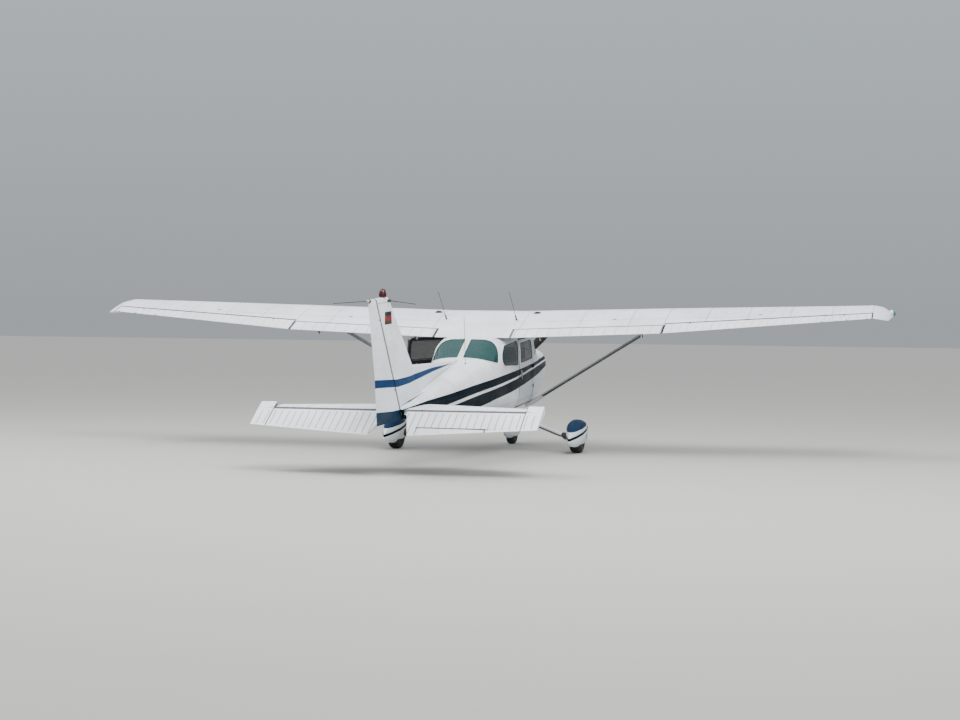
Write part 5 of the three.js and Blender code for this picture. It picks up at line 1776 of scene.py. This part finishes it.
@dataclass
class Wheel:
    """A tyre with its grooves, and a rim with its flanges and nuts."""

    tyre_node: str
    rim_node: str
    middle: Triple
    radius: float
    half_width: float
    rim: float
    grooves: tuple[float, ...] = (0.30, 0.0, -0.30)
    groove: Outline = ((0.0, 0.055), (0.006, 0.04), (0.006, -0.04), (0.0, -0.055))
    rim_width: float = 0.6
    nut_circle: float = 0.70
    nut: Outline = ((0.007, -0.003), (0.007, 0.006), (0.0055, 0.008), (0.003, 0.0085))

    def _tyre_outline(self) -> list[Station]:
        """Gives the tyre's section from bead to bead, with three grooves in its tread."""
        wide, tall, bead = self.half_width, self.radius, self.rim
        side = [
            (bead, 0.72), (bead + 0.006, 0.80), (bead + 0.34 * (tall - bead), 0.93), (tall - 0.055, 1.0),
            (tall - 0.034, 1.0), (tall - 0.02, 0.92), (tall - 0.009, 0.74), (tall - 0.0035, 0.58),
            (tall - 0.0006, 0.46),
        ]
        half = [(radius, share * wide) for radius, share in side]
        tread = [
            (tall - depth, (middle + across) * wide)
            for middle in self.grooves
            for depth, across in self.groove
        ]
        return [*half, *tread, *[(radius, -across) for radius, across in reversed(half)], (bead, 0.0)]

    def build(self, rubber: Finish, alloy: Finish) -> None:
        """Makes the tyre and the rim."""
        place = Matrix.Translation(self.middle) @ ONTO_SIDE
        tyre = ring(f"{self.tyre_node}_tread", self._tyre_outline(), place, 96)
        fitted(tyre, body_of(self.tyre_node), "tyre", rubber, degrees=40)
        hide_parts(self.tyre_node)
        whole = joined(f"{self.rim_node}_wheel", [self._disc(place), self._nuts(place)])
        fitted(whole, body_of(self.rim_node), "rim_metal", alloy)
        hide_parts(self.rim_node)

    def _disc(self, place: Matrix) -> Piece:
        """Makes the rim with its hub, dished web and flanges."""
        wide, bead = self.half_width * self.rim_width, self.rim - 0.0004
        face = [
            (0.0162, 1.0), (bead * 0.45, 1.0), (bead * 0.55, 0.72), (bead * 0.86, 0.66), (bead * 0.92, 1.0),
            (bead, 1.0),
        ]
        outline = [(radius, -share * wide) for radius, share in face]
        outline += [(radius, share * wide) for radius, share in reversed(face)]
        return ring("wheel_disc", outline, place, 48)

    def _nuts(self, place: Matrix) -> Piece:
        """Makes the six nuts on each side of the rim."""
        out = Matrix.Translation(
            (self.rim * self.nut_circle, 0, self.half_width * self.rim_width * self.nut_circle)
        )
        spots = [
            place @ Matrix.Rotation(turn, 4, "X") @ Matrix.Rotation(k * math.pi / 3, 4, "Z") @ out
            for turn in (0.0, math.pi) for k in range(6)
        ]
        return scattered("nuts", self.nut, 6, spots)


@dataclass
class Undercarriage:
    """The wheels, the nose leg's links and the small parts on the fairings."""

    wheels: tuple[Wheel, ...] = (
        Wheel("main_tyre_left", "main_rim_left", (1.285, -FORE_AFT_MIDDLE, 0.218), 0.218, 0.080, 0.084),
        Wheel("main_tyre_right", "main_rim_right", (-1.285, -FORE_AFT_MIDDLE, 0.218), 0.218, 0.080, 0.084),
        Wheel("nose_tyre", "nose_rim", (0.0, NOSE_AXLE, 0.178), 0.178, 0.062, 0.066),
    )
    beside: float = 1.6
    plug: Outline = ((0.034, -0.004), (0.034, 0.002), (0.030, 0.0036), (0.010, 0.004))
    screw: Outline = ((0.0062, -0.002), (0.0062, 0.0008), (0.0048, 0.0018), (0.002, 0.0020))
    screw_spots: Outline = (
        (1.12, 0.30), (1.24, 0.325), (1.38, 0.335), (1.56, 0.335), (1.72, 0.325), (1.88, 0.30),
    )
    cuff: Outline = (
        (0.030, -0.04), (0.048, -0.02), (0.052, 0.0), (0.044, 0.03), (0.032, 0.065), (0.0275, 0.07),
    )
    slide: Outline = ((0.0282, 0.405), (0.0282, 0.452), (0.0275, 0.456))
    collar: Outline = (
        (0.0405, 0.458), (0.043, 0.464), (0.043, 0.486), (0.0405, 0.492), (0.0385, 0.4925),
    )
    clamp: Outline = ((0.0385, 0.60), (0.042, 0.602), (0.042, 0.628), (0.0385, 0.63))
    link_side: float = 0.026
    link_knee: float = -3.165

    def _fairing_fittings(self, alloy: Finish, rubber: Finish) -> None:
        """Sets the axle plugs and the row of screws on the main fairings, and the leg cuffs."""
        for side, name in SIDES:
            skin = Skin(f"main_fairing_{name}")
            inward = (-side, 0, 0)
            plug = turned("plug", self.plug, skin.seat(side * self.beside, 1.47, 0.235, inward), 32)
            spots = [skin.seat(side * self.beside, *spot, inward) for spot in self.screw_spots]
            screws = scattered("screws", self.screw, 12, spots)
            fitted(joined(f"fairing_screws_{name}", [plug, screws]), "airframe", "rim_metal", alloy)
            place = aimed(side * 1.135, 1.46, 0.2245, (-side, 0, 0.40))
            fitted(turned(f"leg_cuff_{name}", self.cuff, place, 24), "airframe", "dark_trim", rubber)

    def _brake_hoses(self, rubber: Finish) -> None:
        """Runs a brake hose down the rear underside of each main leg, with its clips."""
        for side, name in SIDES:
            leg = Skin(f"gear_leg_{name}")
            across = [side * (0.36 + 0.088 * k) for k in range(9)]
            path = [level(x, 1.486, leg.underside(x, 1.472) - 0.006) for x in across]
            hose = tube("hose", path, 0.0095)
            clips = [
                block("clip", (0.012, 0.03, 0.026), Matrix.Translation(path[k]), 0.003, 2)
                for k in (1, 4, 7)
            ]
            fitted(joined(f"brake_hose_{name}", [hose, *clips]), "airframe", "dark_trim", rubber)

    def _nose_leg(self, chrome: Finish, steel: Finish) -> None:
        """Sets the bright sliding tube, two rings and the torque links of the nose leg."""
        upright = Matrix.Translation((0, NOSE_AXLE, 0))
        fork = body_of("nose_fork")
        fitted(turned("nose_slide", self.slide, upright), fork, "rim_metal", chrome)
        rings = [turned("nose_ring", outline, upright) for outline in (self.collar, self.clamp)]
        fitted(joined("nose_leg_rings", rings), "airframe", "rim_metal", steel)
        links = [
            tube("link", [Vector((x, y, high)), Vector((x * 0.5, self.link_knee, knee))], 0.007)
            for y, high, knee in ((-3.2505, 0.475, 0.440), (-3.262, 0.402, 0.436))
            for x in (-self.link_side, self.link_side)
        ]
        ends = [Vector((x, self.link_knee, 0.438)) for x in (-self.link_side, self.link_side)]
        pin = tube("link_pin", ends, 0.008)
        fitted(joined("torque_links", [*links, pin]), fork, "rim_metal", steel)

    def build(self) -> None:
        """Makes the wheels and fits the legs out."""
        rubber = Rubber().material()
        alloy = Metal("wheel_alloy", colour("b4b8bd"), 0.3).material()
        boot = Plastic("cuff_rubber", colour("303335"), 0.7).material()
        for wheel in self.wheels:
            wheel.build(rubber, alloy)
        self._fairing_fittings(alloy, boot)
        self._brake_hoses(boot)
        self._nose_leg(Metal("chrome", colour("c8ccd0"), 0.12, stained=0.1).material(), alloy)


@dataclass
class Nose:
    """The propeller's, engine's and exhaust's finishes and the cowling's and spinner's small parts."""

    hub_height: float = 1.092
    band: Station = (0.865, 0.90)
    tip_band: float = 0.925
    beside: float = 0.9
    rear_edge: float = -0.022
    stud: Outline = ((0.0085, -0.002), (0.0085, 0.0012), (0.0068, 0.0024), (0.0026, 0.0026))
    screw: Outline = ((0.0048, -0.0015), (0.0048, 0.0008), (0.0036, 0.0014), (0.0014, 0.0015))
    screw_count: int = 16
    screw_circle: float = 0.1655
    screw_station: float = -0.836

    def _propeller_finish(self) -> Finish:
        """Makes the blades' dark enamel with two pale bands near the tips and worn patches."""
        shading = Shading("propeller_enamel")
        point = shading.level_place()
        x, _, height = shading.axes(point)
        up = height - self.hub_height
        reach = ((x * x) + up * up) ** 0.5
        bands = reach.within(*self.band).most(reach.above(self.tip_band))
        cloud = shading.noise(point, 22.0, 4.0, 0.65)
        tone = shading.blend(bands, colour("16181a"), colour("d9dbd8"))
        tone = shading.blend((cloud - 0.55).most(0.0) * 0.8, tone, colour("6d6a64"))
        shading.raise_surface(shading.noise(point, 300.0, 2.0), 0.2, 0.0003)
        return shading.shade(base_color=tone, roughness=0.42 + cloud * 0.2)

    def _cowl_parts(self, steel: Finish, white: Finish) -> None:
        """Sets the oil door and the rows of quarter-turn studs on the cowling."""
        skin = Skin("cowling")
        oil = block("oil_door", (0.15, 0.13, 0.004), skin.seat(0.17, -0.40), 0.0018, 2, 0.010, 0.0012)
        fitted(oil, "airframe", "white_paint", white)
        spots = []
        for side, _ in SIDES:
            split_line = [(-0.70 + 0.105 * k, 1.075) for k in range(7)]
            rear_line = [(self.rear_edge, 0.78 + 0.105 * k) for k in range(5)]
            spots += [
                skin.seat(side * self.beside, *spot, (-side, 0, 0)) for spot in split_line + rear_line
            ]
            spots += [skin.seat(side * x, self.rear_edge) for x in (0.10, 0.22, 0.34)]
        fitted(scattered("cowl_studs", self.stud, 14, spots), "airframe", "rim_metal", steel)

    def _spinner_parts(self, steel: Finish) -> None:
        """Rings the spinner's rear edge with screws."""
        spots = []
        for k in range(self.screw_count):
            turn = 2 * math.pi * (k + 0.5) / self.screw_count
            across, up = math.cos(turn), math.sin(turn)
            height = self.hub_height + self.screw_circle * up
            spots.append(aimed(self.screw_circle * across, self.screw_station, height, (across, -0.12, up)))
        fitted(scattered("spinner_screws", self.screw, 10, spots), "propeller", "rim_metal", steel)

    def build(self) -> None:
        """Fits the nose out."""
        steel = Metal("cowl_steel", colour("9b9fa4"), 0.36).material()
        cast = Metal("cast_case", colour("6b6e70"), 0.55, stained=0.7).material()
        burnt = Metal("exhaust_steel", colour("6d5f55"), 0.5, colour("2b2622"), 0.8).material()
        for node, degrees, finish in (
            ("propeller", 35, self._propeller_finish()), ("engine", 30, cast), ("exhaust", 35, burnt),
        ):
            put_finish(refined_copy(node, degrees), finish)
        self._cowl_parts(steel, Livery().material(Scheme.PLAIN))
        self._spinner_parts(steel)


# Fittings on the wings and the body


def tie_ring(name: str, x: float, station: float, height: float, radius: float, thickness: float) -> Piece:
    """Makes a ring that hangs in a plane along the airframe.

    Args:
        name: The new piece's name.
        x: Its middle's x.
        station: Its middle's station.
        height: Its middle's height.
        radius: Half its width, to the middle of its bar.
        thickness: Half its bar's thickness.

    Returns:
        The new piece.
    """
    clear_selection()
    bpy.ops.mesh.primitive_torus_add(
        major_radius=radius, minor_radius=thickness, major_segments=28, minor_segments=10,
    )
    piece = settle(bpy.context.object, stood(x, station, height) @ ONTO_SIDE)
    piece.name = name
    return piece


@dataclass
class WingFittings:
    """What stands on the wings: caps, vents, strut cuffs, lamps, probes, tie rings and wicks."""

    lamp_tint: dict[str, str] = field(default_factory=lambda: {"left": "a01218", "right": "0d7a4a"})
    vent_spots: Outline = ((1.85, 1.755), (3.80, 1.70))
    cap_spot: Station = (0.70, 1.32)
    cup: Outline = ((0.060, -0.004), (0.060, 0.0015), (0.054, 0.0022), (0.046, 0.0018))
    cap: Outline = ((0.040, -0.002), (0.040, 0.010), (0.034, 0.014), (0.012, 0.0145))
    strut_low: Triple = (0.500, 0.672, 0.622)
    strut_high: Triple = (2.215, 1.122, 1.668)
    strut_flatness: float = 0.42
    cuffs: tuple[tuple[str, float, Outline], ...] = (
        ("strut_foot", 0.040, (
            (0.076, -0.15), (0.088, -0.07), (0.082, 0.0), (0.074, 0.06), (0.068, 0.10), (0.0645, 0.105),
        )),
        ("strut_head", 1.004, (
            (0.0645, -0.105), (0.070, -0.10), (0.080, -0.05), (0.096, 0.02), (0.104, 0.06),
        )),
    )
    lamp_foot: Outline = ((0.034, -0.02), (0.034, 0.010), (0.028, 0.016), (0.024, 0.017))
    lamp_lens: Outline = (
        (0.022, 0.014), (0.022, 0.026), (0.018, 0.038), (0.010, 0.046), (0.003, 0.048),
    )
    tail_foot: Outline = ((0.024, -0.02), (0.024, 0.012), (0.020, 0.016))
    tail_lens: Outline = ((0.018, 0.014), (0.018, 0.026), (0.012, 0.036), (0.004, 0.039))
    probe_spot: Station = (2.95, 1.02)
    ring_spot: Station = (2.42, 1.13)
    wick_spans: tuple[float, ...] = (4.62, 4.94, 5.20)
    trail_root: Station = (2.56, 2.300)
    trail_tip: Station = (5.273, 1.950)

    def _both_sides(self, name: str, made: Piece, slot: str, finish: Finish) -> None:
        """Fits a left piece and its mirror image on the right."""
        other = copied(made, f"{name}_right", MIRROR)
        made.name = f"{name}_left"
        fitted(made, "airframe", slot, finish)
        fitted(other, "airframe", slot, finish)

    def _caps(self, skin: Skin, finishes: Finishes) -> None:
        """Sets a fuel cap with its lever in a dark cup on each wing."""
        seat = skin.seat(*self.cap_spot)
        self._both_sides("fuel_cup", turned("fuel_cup", self.cup, seat, 40), "dark_trim", finishes["dark"])
        cap = turned("fuel_cap", self.cap, seat, 36)
        lever = block(
            "lever", (0.058, 0.013, 0.007), seat @ Matrix.Translation((0, 0, 0.017)), 0.002, 2, 0.003, 0.001,
        )
        self._both_sides("fuel_cap", joined("fuel_cap", [cap, lever]), "rim_metal", finishes["cap"])

    def _cuffs(self, finishes: Finishes) -> None:
        """Wraps a fairing round both ends of each strut."""
        low, high = Vector(self.strut_low), Vector(self.strut_high)
        along = (high - low).normalized()
        chordwise = (Vector((0, 1, 0)) - along * along.y).normalized()
        across = chordwise.cross(along)
        turn = Matrix((across, chordwise, along)).transposed().to_4x4()
        flat = Matrix.Diagonal((self.strut_flatness, 1, 1, 1))
        for name, share, outline in self.cuffs:
            place = stood(*low.lerp(high, share)) @ turn @ flat
            self._both_sides(name, turned(name, outline, place, 40), "white_paint", finishes["enamel"])

    def _lamps(self, finishes: Finishes) -> None:
        """Sets the position lamps on the wing tips and the tail lamp on the rudder."""
        for side, name in SIDES:
            base = aimed(side * 5.485, 1.11, 1.928, (side, 0.0, 0.05)) @ Matrix.Diagonal((1, 1.5, 1, 1))
            foot = turned(f"lamp_foot_{name}", self.lamp_foot, base, 28)
            fitted(foot, "airframe", "white_plastic", finishes["enamel"])
            lens = turned(f"position_lamp_{name}", self.lamp_lens, base, 28)
            tint = Glass(f"lamp_{name}", colour(self.lamp_tint[name]), 0.2).material()
            fitted(lens, "airframe", "red_lens", tint)
        tail = aimed(0, 7.090, 2.300, (0, 1, 0.12))
        fitted(turned("tail_lamp_foot", self.tail_foot, tail, 24), "rudder", "dark_trim", finishes["dark"])
        clear = Glass("lamp_clear", colour("cfd2d0"), 0.3).material()
        fitted(turned("tail_lamp", self.tail_lens, tail, 24), "rudder", "white_plastic", clear)

    def _probes(self, finishes: Finishes) -> None:
        """Hangs the air-speed probe, the stall inlet and the tie-down rings."""
        steel = finishes["steel"]
        skin = Skin("wing_left")
        x, station = self.probe_spot
        under = skin.underside(x, station)
        path = [
            level(x, station + aft, under + up)
            for aft, up in ((0.0, 0.02), (-0.01, -0.07), (-0.04, -0.10), (-0.24, -0.105))
        ]
        probe = tube("air_speed_probe", path, 0.0085, fine=3, widths=(1.6, 1.1, 1.0, 0.8))
        fitted(probe, "airframe", "rim_metal", steel)
        seat = skin.seat(2.30, 0.50, 1.830, (0, 1, 0))
        inlet = block("stall_inlet", (0.06, 0.022, 0.006), seat, 0.002, 2, 0.004, 0.003)
        fitted(inlet, "airframe", "rim_metal", steel)
        for side, name in SIDES:
            x, station = side * self.ring_spot[0], self.ring_spot[1]
            under = Skin(f"wing_{name}").underside(x, station)
            loop = tie_ring("loop", x, station, under - 0.030, 0.021, 0.0042)
            stem = tube("stem", [level(x, station, under + 0.01), level(x, station, under - 0.012)], 0.007)
            fitted(joined(f"tie_ring_{name}", [loop, stem]), "airframe", "rim_metal", steel)

    def _vents(self, finishes: Finishes) -> None:
        """Sets two small dark vents on the top of each wing, ahead of the flap and of the aileron."""
        for side, name in SIDES:
            skin = Skin(f"wing_{name}")
            vents = [
                block("vent", (0.055, 0.022, 0.007), skin.seat(side * x, station), 0.0025, 2, 0.004, 0.0015)
                for x, station in self.vent_spots
            ]
            fitted(joined(f"wing_vents_{name}", vents), "airframe", "dark_trim", finishes["dark"])

    def _wicks(self, finishes: Finishes) -> None:
        """Sets the static wicks behind the ailerons."""
        (root, root_trail), (tip, tip_trail) = self.trail_root, self.trail_tip
        for side, name in SIDES:
            skin = Skin(f"aileron_{name}")
            rods = []
            for x in self.wick_spans:
                trail = root_trail - (x - root) * (root_trail - tip_trail) / (tip - root)
                top = skin.topside(side * x, trail - 0.022)
                ends = [
                    level(side * x, trail - 0.03, top + 0.002), level(side * x, trail + 0.085, top - 0.012),
                ]
                rods.append(tube("wick", ends, 0.0028, fine=1, widths=(1.5, 0.6)))
            fitted(joined(f"wicks_{name}", rods), f"aileron_{name}", "dark_trim", finishes["dark"])

    def build(self) -> None:
        """Fits the wings out."""
        finishes = {
            "dark": Plastic("dark_fitting", colour("1f2122"), 0.55).material(),
            "steel": Metal("fitting_steel", colour("9a9ea3"), 0.34).material(),
            "cap": Metal("cap_metal", colour("4a4d50"), 0.45).material(),
            "enamel": Livery().material(Scheme.PLAIN),
        }
        self._caps(Skin("wing_left"), finishes)
        self._cuffs(finishes)
        self._lamps(finishes)
        self._probes(finishes)
        self._wicks(finishes)
        self._vents(finishes)


@dataclass
class BodyFittings:
    """Door handles and armrests, the aerials' feet, the belly's blade, the tab's rod and the tail's ring."""

    outside: float = 0.9
    inside: float = 0.2
    door_cup: Outline = ((0.036, -0.003), (0.036, 0.0016), (0.031, 0.0024), (0.010, 0.0018))
    door_lock: Outline = ((0.011, -0.002), (0.011, 0.003), (0.009, 0.0046), (0.003, 0.0048))
    baggage_cup: Outline = ((0.026, -0.002), (0.026, 0.0016), (0.022, 0.0024), (0.008, 0.0018))
    aerial_foot: Outline = (
        (0.030, -0.004), (0.030, 0.004), (0.023, 0.012), (0.013, 0.018), (0.008, 0.019),
    )
    aerial_foot_spot: Station = (0.470, 1.690)
    aerial_low: Triple = (0.492, 1.681, 1.808)
    aerial_tip: Triple = (0.492, 2.149, 2.217)
    aerial_knob: Outline = (
        (0.014, -0.012), (0.020, -0.008), (0.021, 0.004), (0.015, 0.016), (0.008, 0.024),
    )
    tab_rod: Outline = ((6.04, 0.905), (6.05, 0.892), (6.262, 0.902))
    tail_ring_station: float = 5.30

    def _door(self, finishes: Finishes) -> None:
        """Makes one door's handle, key lock, armrest and pull, for both sides, and the baggage handle."""
        skin = Skin("door_right")
        outward, inward = (-1, 0, 0), (1, 0, 0)
        out = skin.seat(-self.outside, 1.535, 1.10, inward)
        cup = turned("cup", self.door_cup, out)
        lever = block(
            "lever", (0.020, 0.118, 0.010), out @ Matrix.Translation((0, -0.036, 0.011)), 0.004, 3, 0.004,
            0.0015,
        )
        lock = turned("lock", self.door_lock, skin.seat(-self.outside, 1.585, 1.05, inward), 20)
        outer = joined("door_handle", [cup, lever, lock])
        wall = skin.seat(-self.inside, 1.22, 1.06, outward) @ Matrix.Translation((0, 0, 0.022))
        rest = block("door_armrest", (0.055, 0.36, 0.045), wall, 0.014, 4, 0.012, -0.003)
        wall = skin.seat(-self.inside, 1.52, 1.14, outward) @ Matrix.Translation((0, 0, 0.012))
        pull = block("door_pull", (0.018, 0.10, 0.012), wall, 0.004, 3, 0.004, 0.002)
        for piece, slot, finish in (
            (outer, "rim_metal", "steel"), (rest, "dark_trim", "trim"), (pull, "rim_metal", "steel"),
        ):
            name = piece.name
            other = copied(piece, f"{name}_left", DOOR_OPENING @ MIRROR)
            piece.name = f"{name}_right"
            fitted(piece, "door_right", slot, finishes[finish])
            fitted(other, "door_left", slot, finishes[finish])
        seat = Skin("baggage_door").seat(self.outside, 2.37, 0.95, (-1, 0, 0))
        handle = turned("cup", self.baggage_cup, seat, 28)
        bar = block(
            "bar", (0.016, 0.046, 0.006), seat @ Matrix.Translation((0, 0, 0.005)), 0.002, 2, 0.003, 0.001,
        )
        fitted(joined("baggage_handle", [handle, bar]), "baggage_door", "rim_metal", finishes["steel"])

    def _aerial_feet(self, finishes: Finishes) -> None:
        """Sets a foot and a sleeve on each roof aerial, knobs on the fin's aerial and the belly's blade."""
        skin = Skin("cabin")
        for side, name in SIDES:
            x, station = self.aerial_foot_spot
            seat = skin.seat(side * x, station) @ Matrix.Diagonal((1, 1.7, 1, 1))
            foot = turned(f"aerial_foot_{name}", self.aerial_foot, seat, 28)
            fitted(foot, "airframe", "white_plastic", finishes["enamel"])
            low, tip = (level(side * end[0], *end[1:]) for end in (self.aerial_low, self.aerial_tip))
            path = [low.lerp(tip, share) for share in (0.04, 0.19, 0.21)]
            sleeve = tube(f"aerial_sleeve_{name}", path, 0.010, widths=(1.2, 1.0, 0.5))
            fitted(sleeve, "airframe", "dark_trim", finishes["dark"])
        knobs = [
            turned("knob", self.aerial_knob, aimed(side * 0.056, 6.444, 2.282, (side, 0.9, 0)), 24)
            for side, _ in SIDES
        ]
        fitted(joined("aerial_knobs", knobs), "airframe", "dark_trim", finishes["dark"])
        place = stood(0.12, 1.96, skin.underside(0.12, 1.95) - 0.036)
        blade = block("belly_blade", (0.008, 0.075, 0.085), place, 0.003, 3, 0.001, 0.0)
        fitted(blade, "airframe", "dark_trim", finishes["dark"])

    def _tail_parts(self, finishes: Finishes) -> None:
        """Sets the trim tab's rod and horn and the tail's tie ring."""
        hinge, height = ELEVATOR_HINGE
        turn = Matrix.Rotation(-ELEVATOR_DROOP, 4, "X")
        droop = stood(0, hinge, height) @ turn @ Matrix.Translation((0, -hinge, -height))
        rod = tube("tab_rod", [droop @ Vector((-0.62, *spot)) for spot in self.tab_rod], 0.0045)
        fitted(rod, "elevator", "rim_metal", finishes["steel"])
        place = droop @ Matrix.Translation((-0.635, 6.310, 0.915))
        horn = block("tab_horn", (0.012, 0.055, 0.026), place, 0.003, 2, 0.002, 0.001)
        fitted(horn, "trim_tab", "white_paint", finishes["enamel"])
        under = Skin("tailcone").underside(0.0, self.tail_ring_station)
        loop = tie_ring("tail_tie_ring", 0, self.tail_ring_station, under - 0.028, 0.024, 0.005)
        fitted(loop, "airframe", "rim_metal", finishes["steel"])

    def build(self) -> None:
        """Fits the body out."""
        finishes = {
            "dark": Plastic("body_dark", colour("232527"), 0.55).material(),
            "steel": Metal("handle_steel", colour("a4a8ac"), 0.28).material(),
            "trim": Plastic("door_trim", colour("3b4046"), 0.65).material(),
            "enamel": Livery().material(Scheme.PLAIN),
        }
        self._door(finishes)
        self._aerial_feet(finishes)
        self._tail_parts(finishes)


def main() -> None:
    """Builds the studio and the aircraft."""
    logging.basicConfig(level=logging.INFO, format="%(name)s: %(message)s")
    Studio().build()
    for part in (
        Airframe(), Fittings(), Glazing(), Furniture(), Cockpit(), Undercarriage(), Nose(), WingFittings(),
        BodyFittings(),
    ):
        part.build()
        LOG.info("%s is done", type(part).__name__)


if __name__ == "__main__":
    main()
